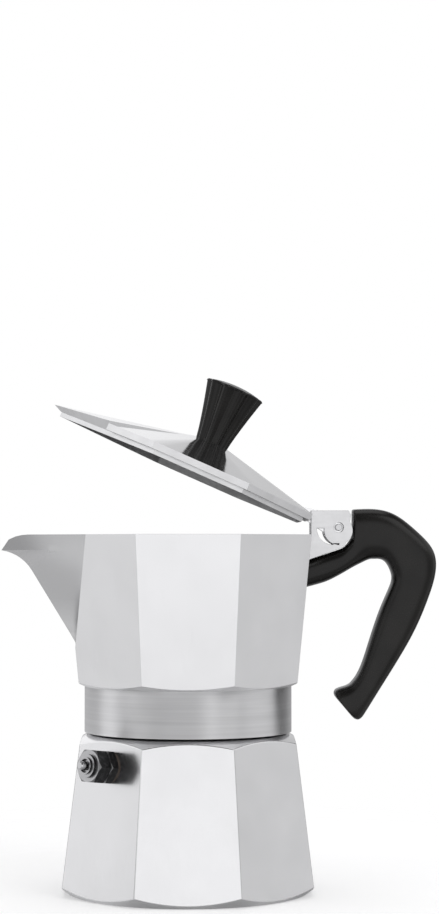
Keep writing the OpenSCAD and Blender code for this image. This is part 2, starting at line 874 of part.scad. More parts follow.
// Swings a piece that is drawn closed up to the angle at which the lid stands.
module opened() {
    translate([pin_x, 0, pin_z]) rotate([0, lid_open, 0]) translate([-pin_x, 0, -pin_z]) children();
}

lid_ap = rim_ap - lid_inset;
beak_root = spout_shoulder(rim_z) + lid_inset * 0.5;

function lid_outline(d) = inset(chamber_outline(lid_ap, beak_root, -beak_reach), d);

// The lid's outside: a low eight-sided pyramid over a straight skirt, and the
// beak laid over it from the knob's seat out to the tip.
module lid_form() {
    octagon = chamber_outline(lid_ap, -lid_ap, -lid_ap);
    intersection() {
        union() {
            translate([0, 0, lid_z]) linear_extrude(lid_skirt) polygon(octagon);
            translate([0, 0, lid_z + lid_skirt - eps])
                linear_extrude(lid_rise + eps, scale = seat_scale) polygon(octagon);
        }
        translate([0, 0, lid_z]) linear_extrude(far) polygon(lid_outline(0));
    }
    side = lid_ap * sqrt(2) + beak_root;
    apex = lid_ap * seat_scale;
    plan = [[-beak_reach, 0], [beak_root, -side], [0, 0], [beak_root, side]];
    top = [beak_tip_h, beak_side_h, lid_skirt + lid_apex - 0.4, beak_side_h];
    translate([0, 0, lid_z]) intersection() {
        polyhedron(
            concat([for (p = plan) [p.x, p.y, 0]], [for (k = [0 : 3]) [plan[k].x, plan[k].y, top[k]]]),
            [
                [0, 1, 2, 3], [0, 4, 5, 1], [1, 5, 6, 2], [2, 6, 7, 3], [3, 7, 4, 0],
                [4, 6, 5], [4, 7, 6]
            ]
        );
        translate([-far, -far / 2, 0]) cube([far - apex, far, lid_skirt + lid_rise]);
    }
}

module lid() {
    lip_in = chamber_wall + lip_play - lid_inset;
    fall = lid_t * 1.05;
    color("silver") opened() difference() {
        union() {
            difference() {
                lid_form();
                intersection() {
                    translate([0, 0, -fall]) lid_form();
                    translate([0, 0, lid_z - 5]) linear_extrude(far) polygon(lid_outline(lid_land));
                }
                translate([0, 0, lid_z - 1]) linear_extrude(2) polygon(lid_outline(lid_land));
            }
            difference() {
                translate([0, 0, lid_z - lid_lip])
                    linear_extrude(lid_lip + 0.5) polygon(lid_outline(lip_in));
                translate([0, 0, lid_z - lid_lip - 1])
                    linear_extrude(lid_lip + 3) polygon(lid_outline(lip_in + lid_lip_t));
            }
            upright(tongue_w) tongue_profile();
        }
        for (side = [-1, 1])
            translate([pin_x, side * (cheek_in + cheek_out) / 2, pin_z]) rotate([90, 0, 0])
                cylinder(r = notch_r, h = cheek_t + 2 * part_gap, center = true);
        translate([pin_x, 0, pin_z]) rotate([90, 0, 0])
            cylinder(r = hinge_pin_r + running, h = far, center = true);
        translate([0, 0, lid_z]) cylinder(r = knob_screw_r + 0.1, h = far / 4);
    }
}

// The tongue between the cheeks: an eye round the pin and a bar to the lid.
module tongue_profile() {
    edge = rim_ap - lid_inset;
    bar_top = lid_z + lid_skirt + 1.6;
    union() {
        translate([pin_x, pin_z]) circle(r = tongue_r);
        polygon([
            [edge - 4.5, lid_z + 1.2], [edge - 4.5, bar_top - 0.3], [edge, bar_top + 0.6],
            [pin_x - 2.4, pin_z + tongue_r - 0.7], [pin_x, pin_z + tongue_r],
            [pin_x, pin_z - tongue_r], [pin_x - 2.4, pin_z - tongue_r + 0.7],
            [edge - 1, lid_z + 0.2]
        ]);
    }
}

// Fluted grip that widens upwards, with a slightly domed top.
module knob() {
    flutes = [
        for (t = [0 : 360 / (knob_flutes * 8) : 359.9])
            knob_d_base / 2 * (1 - flute_depth * (1 - cos(t * knob_flutes)) / 2) * [cos(t), sin(t)]
    ];
    spread = knob_d_top / knob_d_base;
    color("#262626") opened() difference() {
        union() {
            translate([0, 0, knob_z]) linear_extrude(knob_h, scale = spread) polygon(flutes);
            translate([0, 0, knob_z + knob_h - eps])
                linear_extrude(knob_dome + eps, scale = 0.72) scale(spread) polygon(flutes);
        }
        translate([0, 0, knob_z - 1]) cylinder(r = knob_screw_r + press, h = knob_bore_l + 1);
    }
}

module knob_washer() {
    color("gainsboro") opened() translate([0, 0, knob_washer_z() - knob_washer_t]) difference() {
        cylinder(r = screw_head_r + 1, h = knob_washer_t);
        translate([0, 0, -1]) cylinder(r = knob_screw_r + 0.1, h = knob_washer_t + 2);
    }
}

// Height of the flat under the lid's seat.
function knob_washer_z() = knob_z - lid_t * 1.05;

module knob_screw() {
    head_z = knob_washer_z() - knob_washer_t;
    color("gainsboro") opened() difference() {
        union() {
            translate([0, 0, head_z - screw_head_t]) cylinder(r = screw_head_r, h = screw_head_t);
            translate([0, 0, head_z - eps])
                cylinder(r = knob_screw_r, h = knob_z + knob_bore_l - 1 - head_z);
        }
        translate([0, 0, head_z - screw_head_t]) cube([1, screw_head_r * 3, 2], center = true);
    }
}

// ---------------------------------------------------------------- hinge and handle

module hinge_pin() {
    length = 2 * cheek_out + 0.4;
    color("gainsboro") translate([pin_x, 0, pin_z]) rotate([90, 0, 0]) rotate_extrude() polygon([
        [0, -length / 2], [hinge_pin_r - 0.2, -length / 2], [hinge_pin_r, -length / 2 + 0.2],
        [hinge_pin_r, length / 2 - 0.2], [hinge_pin_r - 0.2, length / 2], [0, length / 2]
    ]);
}

// The handle's sections, one per cut: rounded squares that span the cut and the
// handle's thickness, |u|^k + |v|^k = 1.
function section(cut, count) =
    let(
        upper = [cut[0], cut[1]],
        lower = [cut[2], cut[3]],
        middle = (upper + lower) / 2,
        half = (upper - lower) / 2
    )
    [for (i = [0 : count - 1])
        let(
            a = 360 * (i + 0.5) / count,
            size = pow(pow(abs(cos(a)), handle_square) + pow(abs(sin(a)), handle_square), -1 / handle_square),
            p = middle + half * size * cos(a)
        )
        [p.x, handle_w / 2 * size * sin(a), p.y]];

// A solid run through rings of points, closed by a flat cut at each end.
module run_through(rings) {
    n = len(rings[0]);
    last = len(rings) - 1;
    polyhedron(
        [for (ring = rings) each ring],
        concat(
            [[for (i = [n - 1 : -1 : 0]) i]],
            [
                for (k = [0 : last - 1], i = [0 : n - 1])
                    let(j = (i + 1) % n)
                    each [
                        [k * n + i, k * n + j, (k + 1) * n + i],
                        [k * n + j, (k + 1) * n + j, (k + 1) * n + i]
                    ]
            ],
            [[for (i = [0 : n - 1]) last * n + i]]
        ),
        convexity = 8
    );
}

module handle() {
    color("#262626") difference() {
        translate([pin_x, 0, pin_z]) run_through([for (cut = softened(handle_cuts())) section(cut, 18)]);
        upright(tenon_w + 2 * running) polygon(inset(tenon_points(), -running));
        translate([pin_x + screw_x, 0, pin_z - screw_way])
            cylinder(r = handle_screw_d / 2 + 0.1, h = screw_way + screw_tip + 0.5);
        translate([pin_x + screw_x, 0, pin_z - screw_way])
            cylinder(r = washer_r + slip, h = screw_way + screw_seat);
    }
}

module handle_washer() {
    color("gainsboro") translate([pin_x + screw_x, 0, pin_z + screw_seat - 0.6]) difference() {
        cylinder(r = washer_r, h = 0.6);
        translate([0, 0, -1]) cylinder(r = handle_screw_d / 2 + 0.1, h = 3);
    }
}

// Slotted screw that holds the handle on its tenon.
module handle_screw() {
    head_t = 1.8;
    color("gainsboro") translate([pin_x + screw_x, 0, pin_z + screw_seat - 0.6]) difference() {
        union() {
            translate([0, 0, -head_t]) cylinder(r = washer_r - 0.4, h = head_t);
            translate([0, 0, -eps]) cylinder(d = handle_screw_d, h = screw_tip - screw_seat + 0.6 + eps);
        }
        translate([0, 0, -head_t]) cube([0.9, washer_r * 3, 1.6], center = true);
    }
}

boiler();
valve_body();
valve_washer();
valve_cap();
valve_spring();
valve_pin();
funnel_basket();
funnel_stem();
funnel_screen();
gasket();
filter_plate();
upper_chamber();
coffee_column();
column_cap();
hinge_pin();
handle();
handle_screw();
handle_washer();
lid();
knob();
knob_screw();
knob_washer();
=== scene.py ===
import math

import bpy
import bmesh
import numpy as np
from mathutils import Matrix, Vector
from mathutils.geometry import tessellate_polygon


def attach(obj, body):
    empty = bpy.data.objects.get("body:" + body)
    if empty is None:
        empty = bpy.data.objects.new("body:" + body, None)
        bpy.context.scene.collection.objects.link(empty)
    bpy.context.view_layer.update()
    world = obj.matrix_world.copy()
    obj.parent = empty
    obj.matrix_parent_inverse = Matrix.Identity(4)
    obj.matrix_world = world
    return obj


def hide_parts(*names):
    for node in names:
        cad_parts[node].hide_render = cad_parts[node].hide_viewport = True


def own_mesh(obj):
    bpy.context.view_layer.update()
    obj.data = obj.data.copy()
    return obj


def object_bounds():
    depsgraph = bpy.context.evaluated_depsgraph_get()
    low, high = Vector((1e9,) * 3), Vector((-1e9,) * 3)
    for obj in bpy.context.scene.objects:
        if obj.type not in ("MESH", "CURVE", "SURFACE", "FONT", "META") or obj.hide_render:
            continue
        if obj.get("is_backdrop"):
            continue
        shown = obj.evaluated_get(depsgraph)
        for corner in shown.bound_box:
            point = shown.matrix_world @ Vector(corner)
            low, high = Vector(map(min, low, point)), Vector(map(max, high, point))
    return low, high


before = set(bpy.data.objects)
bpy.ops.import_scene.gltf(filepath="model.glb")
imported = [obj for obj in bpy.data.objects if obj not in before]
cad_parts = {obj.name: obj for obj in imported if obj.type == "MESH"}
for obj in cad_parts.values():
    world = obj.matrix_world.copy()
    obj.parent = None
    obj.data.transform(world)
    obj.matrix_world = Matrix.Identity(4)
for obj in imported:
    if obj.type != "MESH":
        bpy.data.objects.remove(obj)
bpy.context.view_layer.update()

MM = 0.001
EIGHTH = math.tan(math.radians(22.5))   # half a side of the octagon, per mm of apothem

# -------------------- sizes, in mm

BOILER_FOOT, BOILER_TOP, BOILER_H = 43.515, 36.863, 55.2   # apothems and height
BOILER_WALL = 3.0
FOOT_R, FOOT_SLOPE = 42.0, 0.75            # turned cone under the facets
SHOULDER_R, SHOULDER_SLOPE = 34.6, 0.52    # turned cone over them
FLARE_IN, FLARE_H = 1.5, 5.5               # flare at the foot of the neck
NECK_R, NECK_BORE_R, NECK_TOP = 32.05, 28.9, 68.0
THREAD_R = 33.1

VALVE_AXIS = (-0.70203, -0.70203, 0.11963)
VALVE_FOOT = (-26.901, -26.901, 45.4)      # where the valve's axis leaves the facet
COIL_R, COIL_WIRE, COIL_TURNS = 2.15, 0.225, 3.5
COIL_LOW, COIL_LENGTH = -1.025, 3.55       # from the facet, along the valve's axis

COLLAR_R, COLLAR_BORE_R, COLLAR_Z = 36.2, 34.9, 55.5
CHAMBER_AP, RIM_AP = 37.5, 42.5            # apothems at CHAMBER_Z and at RIM_Z
CHAMBER_Z, RIM_Z = 71.9, 124.2
FLOOR_Z, WALL = 75.1, 2.6
SPOUT_Z, NOSE_Z, TIP_Z = 85.4, 111.683, 118.7
SPOUT_TIP, SPOUT_ROOT = -65.6, -34.9
KEEL_SLOPE, TIP_SLOPE, NOSE_R = 58.5, 8.0, 15.0
LIP_L, LIP_H = 9.8, 5.5
SPOUT_SHADE_Z = 102.0                             # where the spout's painted shade reaches its full depth

PIN_X, PIN_Z = 52.5, 126.7
EAR_R, EAR_DROP = 4.9, 1.1                 # the cheeks' round ears, and their drop from the pin
HANDLE_HALF, HANDLE_SQUARE = 6.5, 3.4      # half thickness, and power of its rounded squares

LID_OPEN = 23.9
LID_Z, LID_AP, LID_SKIRT, LID_RISE, LID_APEX = 124.5, 41.9, 2.3, 9.0, 10.6
LID_WALL, LAND_IN, LIP_IN, LIP_DEEP, NOTCH_R = 1.9, 2.5, 4.3, 1.6, 11.65
BEAK_ROOT, BEAK_TIP, BEAK_IN = -34.6, -56.0, 2.3
KNOB_R, KNOB_TOP_R, KNOB_H = 5.9, 10.65, 20.8
KNOB_FLUTES, FLUTE_DEPTH = 10, 0.07

HOLE_PITCH, HOLE_FIELD_R = 0.00125, 0.0268   # of the filter plate, in metres


# -------------------- shader maths

class Signal:
    """A number on a socket; Python's operators on it add Math nodes."""

    def __init__(self, paint, socket):
        self.paint, self.socket = paint, socket

    def _do(self, operation, *values, clamp=False):
        settings = {"operation": operation, "use_clamp": clamp}
        node = self.paint.add("ShaderNodeMath", settings, dict(enumerate(values)))
        return Signal(self.paint, node.outputs[0])

    def __add__(self, other):
        return self._do("ADD", self, other)

    __radd__ = __add__

    def __sub__(self, other):
        return self._do("SUBTRACT", self, other)

    def __rsub__(self, other):
        return self._do("SUBTRACT", other, self)

    def __mul__(self, other):
        return self._do("MULTIPLY", self, other)

    __rmul__ = __mul__

    def __truediv__(self, other):
        return self._do("DIVIDE", self, other)

    def __rtruediv__(self, other):
        return self._do("DIVIDE", other, self)

    def __pow__(self, other):
        return self._do("POWER", self, other)

    def __rpow__(self, other):
        return self._do("POWER", other, self)

    def rounded(self):
        return self._do("ROUND", self)

    def least(self, other):
        return self._do("MINIMUM", self, other)

    def most(self, other):
        return self._do("MAXIMUM", self, other)

    def fade(self, low, high):
        """0 at low and below, 1 at high and above, straight between."""
        return self._do("DIVIDE", self - low, high - low, clamp=True)


class Paint:
    """The node tree of one finish or of the world."""

    def __init__(self, tree):
        self.tree = tree
        tree.nodes.clear()

    def add(self, kind, settings=None, values=None):
        """Adds a node: its settings first, a ramp's stops among them, then its sockets."""
        node = self.tree.nodes.new(kind)
        for key, setting in (settings or {}).items():
            if key == "stops":
                elements = node.color_ramp.elements
                while len(elements) < len(setting):
                    elements.new(0.5)
                for element, (place, shade) in zip(elements, setting):
                    element.position = place
                    element.color = shade if len(shade) == 4 else (*shade, 1)
            else:
                setattr(node, key, setting)
        for key, value in (values or {}).items():
            socket = node.inputs[key]
            if isinstance(value, Signal):
                value = value.socket
            if isinstance(value, bpy.types.NodeSocket):
                self.tree.links.new(value, socket)
            else:
                socket.default_value = value
        return node

    def point(self):
        """The point in the object's own coordinates, in metres."""
        return self.add("ShaderNodeTexCoord").outputs["Object"]

    def parts(self, vector):
        """The x, y and z of a point or a direction."""
        node = self.add("ShaderNodeSeparateXYZ", {}, {0: vector})
        return [Signal(self, part) for part in node.outputs]

    def stretched(self, point, scale):
        """The point scaled along each axis: a small scale draws a pattern out there."""
        return self.add("ShaderNodeMapping", {}, {"Vector": point, "Scale": scale}).outputs[0]

    def noise(self, point, scale, detail=3.0, rough=0.5):
        """Noise from 0 to 1 whose cells are about 1 / scale metres wide."""
        node = self.add("ShaderNodeTexNoise", {}, {
            "Vector": point, "Scale": scale, "Detail": detail, "Roughness": rough})
        return Signal(self, node.outputs["Fac"])

    def mixed(self, share, first, second):
        """Two colours mixed by a share from 0 to 1."""
        node = self.add("ShaderNodeMix", {"data_type": "RGBA"}, {"Factor": share})
        for socket, value in ((node.inputs[6], first), (node.inputs[7], second)):
            if isinstance(value, bpy.types.NodeSocket):
                self.tree.links.new(value, socket)
            else:
                socket.default_value = (*value, 1)
        return node.outputs[2]

    def bumped(self, height, distance, strength=1.0):
        """The surface's normal, tilted by a height of 0 to 1 over a distance in metres."""
        return self.add("ShaderNodeBump", {}, {
            "Height": height, "Distance": distance, "Strength": strength}).outputs[0]


def finish(name, build):
    """A material whose Principled shader takes what build returns for the point on the
    surface, in the object's own coordinates and in metres."""
    made = bpy.data.materials.new(name)
    made.use_nodes = True
    paint = Paint(made.node_tree)
    shader = paint.add("ShaderNodeBsdfPrincipled", {}, build(paint, paint.point()))
    paint.add("ShaderNodeOutputMaterial", {}, {"Surface": shader.outputs[0]})
    return made


def grey(value):
    """A grey with a breath of blue."""
    return (value, value, value * 1.01)


def satin_facets(paint, point):
    """Machine-polished casting: fine upright brushing and a faint mottle."""
    brushed = paint.noise(paint.stretched(point, (1, 1, 0.04)), 2600, 2.0)
    cloud = paint.noise(point, 55, 3.0)
    return {
        "Base Color": paint.mixed(cloud.fade(0.3, 0.75), grey(0.80), grey(0.86)),
        "Metallic": 1.0,
        "Roughness": 0.17 + 0.06 * brushed + 0.05 * cloud,
        "Normal": paint.bumped(0.6 * brushed + cloud, 0.00002, 0.5),
    }


def satin_spout_painted_shade(paint, point):
    """The facets' finish with painted shade: its colour darkens from the foot of the spout up,
    standing in for the shade on the spout's sides.
    """
    values = satin_facets(paint, point)
    # painted shade: the base colour goes over to a darker grey with height up the spout
    painted_shade = paint.parts(point)[2].fade(SPOUT_Z * MM, SPOUT_SHADE_Z * MM)
    values["Base Color"] = paint.mixed(painted_shade, values["Base Color"], grey(0.63))
    return values


def turned_bright(paint, point):
    """Lathe-turned band: fine rings round the axis and a few deeper ones."""
    fine = paint.noise(paint.stretched(point, (0.02, 0.02, 1)), 5200, 2.0)
    broad = paint.noise(paint.stretched(point, (0.02, 0.02, 1)), 900, 2.0)
    return {
        "Base Color": paint.mixed(broad.fade(0.35, 0.7), grey(0.80), grey(0.88)),
        "Metallic": 1.0,
        "Roughness": 0.42 + 0.06 * fine,
        "Anisotropic": 0.95,
        "Anisotropic Rotation": 0.25,
        "Normal": paint.bumped(fine + broad, 0.000012, 0.5),
    }


def polished_flare(paint, point):
    """Buffed flare below the thread: clear reflections with faint rings."""
    rings = paint.noise(paint.stretched(point, (0.02, 0.02, 1)), 2600, 2.0)
    return {
        "Base Color": paint.mixed(rings, grey(0.82), grey(0.90)),
        "Metallic": 1.0,
        "Roughness": 0.12 + 0.08 * rings,
        "Normal": paint.bumped(rings, 0.000008, 0.5),
    }


def satin_edge(paint, point):
    """Ground edge of the lid and the hinge cheeks: grey satin, scratched lengthwise."""
    scratch = paint.noise(paint.stretched(point, (0.05, 1, 1)), 2400, 3.0)
    cloud = paint.noise(point, 150, 3.0)
    return {
        "Base Color": paint.mixed(cloud.fade(0.3, 0.7), grey(0.69), grey(0.77)),
        "Metallic": 1.0,
        "Roughness": 0.26 + 0.14 * scratch,
        "Normal": paint.bumped(scratch + cloud, 0.00002, 0.5),
    }


def shaded_casting(paint, point):
    """Underside of the lid: unpolished, its colour darkened as painted shade, standing in for the
    shade under the lid.
    """
    grain = paint.noise(point, 1200, 2.0)
    cloud = paint.noise(point, 90, 4.0, 0.6)
    return {
        "Base Color": paint.mixed(cloud.fade(0.3, 0.7), grey(0.30), grey(0.44)),
        "Metallic": 1.0,
        "Roughness": 0.40 + 0.12 * grain,
        "Normal": paint.bumped(grain + cloud, 0.00003, 0.5),
    }


def mirror_polish(paint, point):
    """Buffed lid: almost a mirror, with soft waves and hairline wipes."""
    wave = paint.noise(point, 60, 2.0)
    wipe = paint.noise(paint.stretched(point, (0.05, 1, 1)), 3000, 2.0)
    return {
        "Base Color": paint.mixed(wave.fade(0.3, 0.7), grey(0.86), grey(0.90)),
        "Metallic": 1.0,
        "Roughness": 0.07 + 0.06 * wipe,
        "Normal": paint.bumped(wave + 0.1 * wipe, 0.00003, 0.4),
    }


def stamped_sheet(paint, point):
    """Deep-drawn aluminium: dull and mottled, with faint upright draw lines."""
    drawn = paint.noise(paint.stretched(point, (1, 1, 0.06)), 900, 3.0)
    mottle = paint.noise(point, 800, 4.0, 0.65)
    return {
        "Base Color": paint.mixed(mottle.fade(0.3, 0.75), grey(0.74), grey(0.86)),
        "Metallic": 1.0,
        "Roughness": 0.42 + 0.12 * mottle,
        "Normal": paint.bumped(0.4 * drawn + mottle, 0.00003, 0.6),
    }


def inner_casting(paint, point):
    """Inside of the castings: a soft, finely grained satin."""
    grain = paint.noise(point, 1500, 2.0)
    cloud = paint.noise(point, 70, 3.0)
    return {
        "Base Color": paint.mixed(cloud.fade(0.3, 0.7), grey(0.68), grey(0.76)),
        "Metallic": 1.0,
        "Roughness": 0.38 + 0.12 * grain,
        "Normal": paint.bumped(grain + cloud, 0.00003, 0.5),
    }


def black_bakelite(paint, point):
    """Moulded black plastic: satin, with a fine orange peel and slight fading."""
    peel = paint.noise(point, 1100, 2.0)
    cloud = paint.noise(point, 90, 3.0)
    return {
        "Base Color": paint.mixed(cloud.fade(0.35, 0.75), (0.006, 0.0055, 0.005),
                                  (0.013, 0.012, 0.011)),
        "Roughness": 0.20 + 0.08 * cloud + 0.05 * peel,
        "Normal": paint.bumped(peel, 0.00002, 0.6),
        "Specular IOR Level": 0.3,
    }


def seal_rubber(paint, point):
    """Pale grey food rubber: matte, with a fine tooth."""
    tooth = paint.noise(point, 1400, 3.0)
    return {
        "Base Color": paint.mixed(tooth.fade(0.3, 0.7), (0.70, 0.69, 0.66), (0.79, 0.78, 0.75)),
        "Roughness": 0.62 + 0.15 * tooth,
        "Normal": paint.bumped(tooth, 0.00003, 0.6),
    }


def dark_plated(paint, point):
    """Dark plated brass whose faces across the valve's axis are light grey."""
    wear = paint.noise(point, 700, 4.0, 0.6)
    facing = paint.add("ShaderNodeTexCoord").outputs["Normal"]
    across = paint.add("ShaderNodeVectorMath", {"operation": "DOT_PRODUCT"},
                       {0: facing, 1: VALVE_AXIS})
    # faces across the valve's axis turn light grey, more so where the noise is high
    end_faces = Signal(paint, across.outputs["Value"]).fade(0.80, 0.97)
    plating = paint.mixed(wear.fade(0.50, 0.80), (0.035, 0.035, 0.036), (0.10, 0.10, 0.102))
    return {
        "Base Color": paint.mixed(end_faces * (0.7 + 0.3 * wear), plating, (0.62, 0.62, 0.63)),
        "Metallic": 1.0,
        "Roughness": 0.26 + 0.10 * wear,
        "Normal": paint.bumped(wear, 0.00003, 0.5),
    }


def bright_steel(paint, point):
    """Drawn steel wire and turned screws."""
    fine = paint.noise(point, 1800, 2.0)
    return {
        "Base Color": paint.mixed(fine, (0.56, 0.56, 0.57), (0.70, 0.70, 0.71)),
        "Metallic": 1.0,
        "Roughness": 0.20 + 0.10 * fine,
        "Normal": paint.bumped(fine, 0.00001, 0.5),
    }


def red_fibre(paint, point):
    """Pressed fibre washer."""
    fibre = paint.noise(paint.stretched(point, (1, 1, 4)), 900, 4.0, 0.7)
    return {
        "Base Color": paint.mixed(fibre.fade(0.3, 0.7), (0.05, 0.038, 0.03), (0.10, 0.075, 0.06)),
        "Roughness": 0.75 + 0.1 * fibre,
        "Normal": paint.bumped(fibre, 0.00005, 0.7),
    }


def pierced_sheet(paint, point):
    """Filter plate: a fine hexagonal field of pierced holes inside a plain rim."""
    x, y = paint.parts(point)[:2]
    pitch, double_row = HOLE_PITCH, HOLE_PITCH * math.sqrt(3)

    def from_hole(a, b):
        """Squared distance to the nearest hole of a rectangular field, a and b being
        the place in pitches and in double rows."""
        return ((a - a.rounded()) * pitch) ** 2.0 + ((b - b.rounded()) * double_row) ** 2.0

    a, b = x / pitch, y / double_row
    nearest = from_hole(a, b).least(from_hole(a - 0.5, b - 0.5)) ** 0.5
    radius = (x * x + y * y) ** 0.5
    field = 1 - radius.fade(HOLE_FIELD_R, HOLE_FIELD_R + 0.0002)
    hole = (1 - nearest.fade(0.00026, 0.00034)) * field
    mottle = paint.noise(point, 300, 3.0)
    sheet = paint.mixed(mottle, grey(0.62), grey(0.76))
    return {
        "Base Color": paint.mixed(hole, sheet, (0.05, 0.05, 0.05)),
        "Metallic": 1.0,
        "Roughness": 0.30 + 0.12 * mottle + 0.3 * hole,
        "Normal": paint.bumped(1 - hole, 0.00006, 0.8),
    }


FINISHES = {build.__name__: finish(build.__name__, build) for build in (
    satin_facets, satin_spout_painted_shade, turned_bright, polished_flare, satin_edge, shaded_casting,
    mirror_polish, stamped_sheet, inner_casting, black_bakelite, seal_rubber, dark_plated,
    bright_steel, red_fibre, pierced_sheet)}


# -------------------- surfaces

def shell(name, grids, finishes, body, replaces=(), bevel=0.0, sharp=28.0, turn=None):
    """One piece from grids of points in mm. A grid is (points, band) with points
    [row, column, 3]: rows run along the profile, columns anticlockwise round it and
    back to the first, and each four neighbours are a face. band gives the finish of
    all the faces, of each row of faces or of each face."""
    corners, faces, slots = [], [], []
    start = 0
    for points, band in grids:
        rows, columns = points.shape[:2]
        here = start + np.arange(rows * columns).reshape(rows, columns)
        after = np.roll(here, -1, axis=1)
        quads = np.stack([here[:-1], after[:-1], after[1:], here[1:]], axis=-1)
        faces.append(quads.reshape(-1, 4))
        band = np.asarray(band)
        band = band if band.ndim == 2 else band.reshape(-1, 1)
        slots.append(np.broadcast_to(band, (rows - 1, columns)).ravel())
        corners.append(points.reshape(-1, 3))
        start += rows * columns
    corners = np.concatenate(corners)
    if turn is not None:
        corners = turn(corners)
    return meshed(name, corners, np.concatenate(faces).tolist(), np.concatenate(slots), finishes,
                  body, replaces, bevel, sharp)


def meshed(name, corners, faces, slots, finishes, body, replaces, bevel, sharp):
    """Puts corners and faces into a mesh, closes its seams and dresses it."""
    mesh = bpy.data.meshes.new(name)
    mesh.from_pydata((corners * MM).tolist(), [], faces)
    mesh.polygons.foreach_set("material_index", np.asarray(slots, dtype=np.int32))
    for each in finishes:
        mesh.materials.append(FINISHES[each])
    work = bmesh.new()
    work.from_mesh(mesh)
    bmesh.ops.remove_doubles(work, verts=work.verts, dist=2e-6)
    bmesh.ops.dissolve_degenerate(work, edges=work.edges, dist=1e-6)
    work.to_mesh(mesh)
    work.free()
    mesh.polygons.foreach_set("use_smooth", [True] * len(mesh.polygons))
    mesh.set_sharp_from_angle(angle=math.radians(sharp))
    piece = bpy.data.objects.new(name, mesh)
    bpy.context.scene.collection.objects.link(piece)
    if bevel:
        rounding = piece.modifiers.new("edges", "BEVEL")
        rounding.width = bevel * MM
        rounding.segments = 3
        rounding.limit_method = "ANGLE"
        rounding.angle_limit = math.radians(sharp)
        rounding.harden_normals = True
        rounding.use_clamp_overlap = True
    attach(piece, body)
    if replaces:
        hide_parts(*replaces)
    return piece


def turned(profile, count=192):
    """A profile of (r, z) carried round the Z axis: x = r cos a, y = r sin a."""
    r, z = np.asarray(profile, float).T[..., None]
    a = np.linspace(0, 2 * np.pi, count, endpoint=False)
    return np.stack([r * np.cos(a), r * np.sin(a), z + 0 * a], axis=-1)


def capped(grid):
    """A grid with a row of its first row's middle before it and one of its last's after."""
    ends = [np.broadcast_to(grid[k].mean(0), grid[:1].shape) for k in (0, -1)]
    return np.concatenate([ends[0], grid, ends[1]])


def slab(name, outline, low, high, finishes, body, replaces, holes=(), bevel=0.3, turn=None):
    """An outline in X and Z, with holes, pushed along Y from low to high."""
    loops = [np.asarray(loop, float) for loop in (outline, *holes)]
    flat = np.concatenate(loops)
    count = len(flat)
    caps = tessellate_polygon([[Vector((x, z, 0)) for x, z in loop] for loop in loops])
    corners = [np.stack([flat[:, 0], np.full(count, y), flat[:, 1]], axis=1) for y in (low, high)]
    corners = np.concatenate(corners)
    faces = [list(cap) for cap in caps] + [[i + count for i in reversed(cap)] for cap in caps]
    start = 0
    for loop in loops:
        here = start + np.arange(len(loop))
        after = np.roll(here, -1)
        faces += np.stack([here, after, after + count, here + count], axis=1).tolist()
        start += len(loop)
    if turn is not None:
        corners = turn(corners)
    slots = np.zeros(len(faces))
    piece = meshed(name, corners, faces, slots, finishes, body, replaces, bevel, 28.0)
    work = bmesh.new()
    work.from_mesh(piece.data)
    bmesh.ops.recalc_face_normals(work, faces=work.faces)
    work.to_mesh(piece.data)
    work.free()
    return piece


# -------------------- boiler

def boiler_apothem(z):
    """Half-width of the boiler between two facets, straight from its foot to its top."""
    return BOILER_FOOT + (BOILER_TOP - BOILER_FOOT) * z / BOILER_H


def boiler_points():
    """Eight facets of half-width ap(z); at an angle a from a facet's middle the wall
    stands at ap(z) / cos a. A turned cone r = 42 + z / 0.75 trims its foot, and a
    turned cone r = 34.6 + (55.2 - z) / 0.52 trims its shoulder."""
    t = np.linspace(-1, 1, 15)[:-1] * EIGHTH
    local = np.tile(np.arctan(t), 8)
    a = local + np.repeat(np.arange(8) * np.pi / 4, 14)
    out = 1 / np.cos(local)
    a0, a1 = BOILER_FOOT, (BOILER_TOP - BOILER_FOOT) / BOILER_H
    foot = (a0 * out - FOOT_R) / (1 / FOOT_SLOPE - a1 * out)
    brow = (SHOULDER_R + BOILER_H / SHOULDER_SLOPE - a0 * out) / (a1 * out + 1 / SHOULDER_SLOPE)
    ring = [(0, 0), (38.0, 0), (38.6, 0.35), (40.2, 0.35), (40.8, 0), (FOOT_R, 0)]
    heights = foot + (brow - foot) * np.linspace(0, 1, 7)[:, None]
    facets = [(boiler_apothem(z) * out, z) for z in heights]
    flare = [(SHOULDER_R - FLARE_IN * math.sin(t), BOILER_H + FLARE_H * (1 - math.cos(t)))
             for t in np.radians(np.arange(0, 91, 9))]
    roof_z = 49.7
    high_r, low_r = boiler_apothem(roof_z) - BOILER_WALL, boiler_apothem(3) - BOILER_WALL
    neck = [(NECK_R, 61.1), (NECK_R, NECK_TOP - 0.6), (NECK_R - 0.6, NECK_TOP), (29.7, NECK_TOP),
            (29.7, NECK_TOP - 0.6), (NECK_BORE_R, NECK_TOP - 0.6)]
    inside = [(NECK_BORE_R, roof_z + (high_r - NECK_BORE_R) * SHOULDER_SLOPE), (high_r, roof_z),
              (low_r - 0.2, 6), (low_r - 0.9, 3.9), (low_r - 3, BOILER_WALL), (0, BOILER_WALL)]
    rows = [(0 * a + r, 0 * a + z) for r, z in ring + facets + flare + neck + inside]
    r, z = np.array(rows).transpose(1, 0, 2)
    bands = np.array([1] * 6 + [0] * 6 + [3] * 13 + [1] * 3)
    bands = np.append(bands, [2] * (len(rows) - 1 - len(bands)))
    return np.stack([r * np.cos(a), r * np.sin(a), z], axis=-1), bands


points, bands = boiler_points()
shell("boiler_body", [(points, bands)],
      ("satin_facets", "turned_bright", "inner_casting", "polished_flare"), "boiler", ("boiler",),
      bevel=0.35)


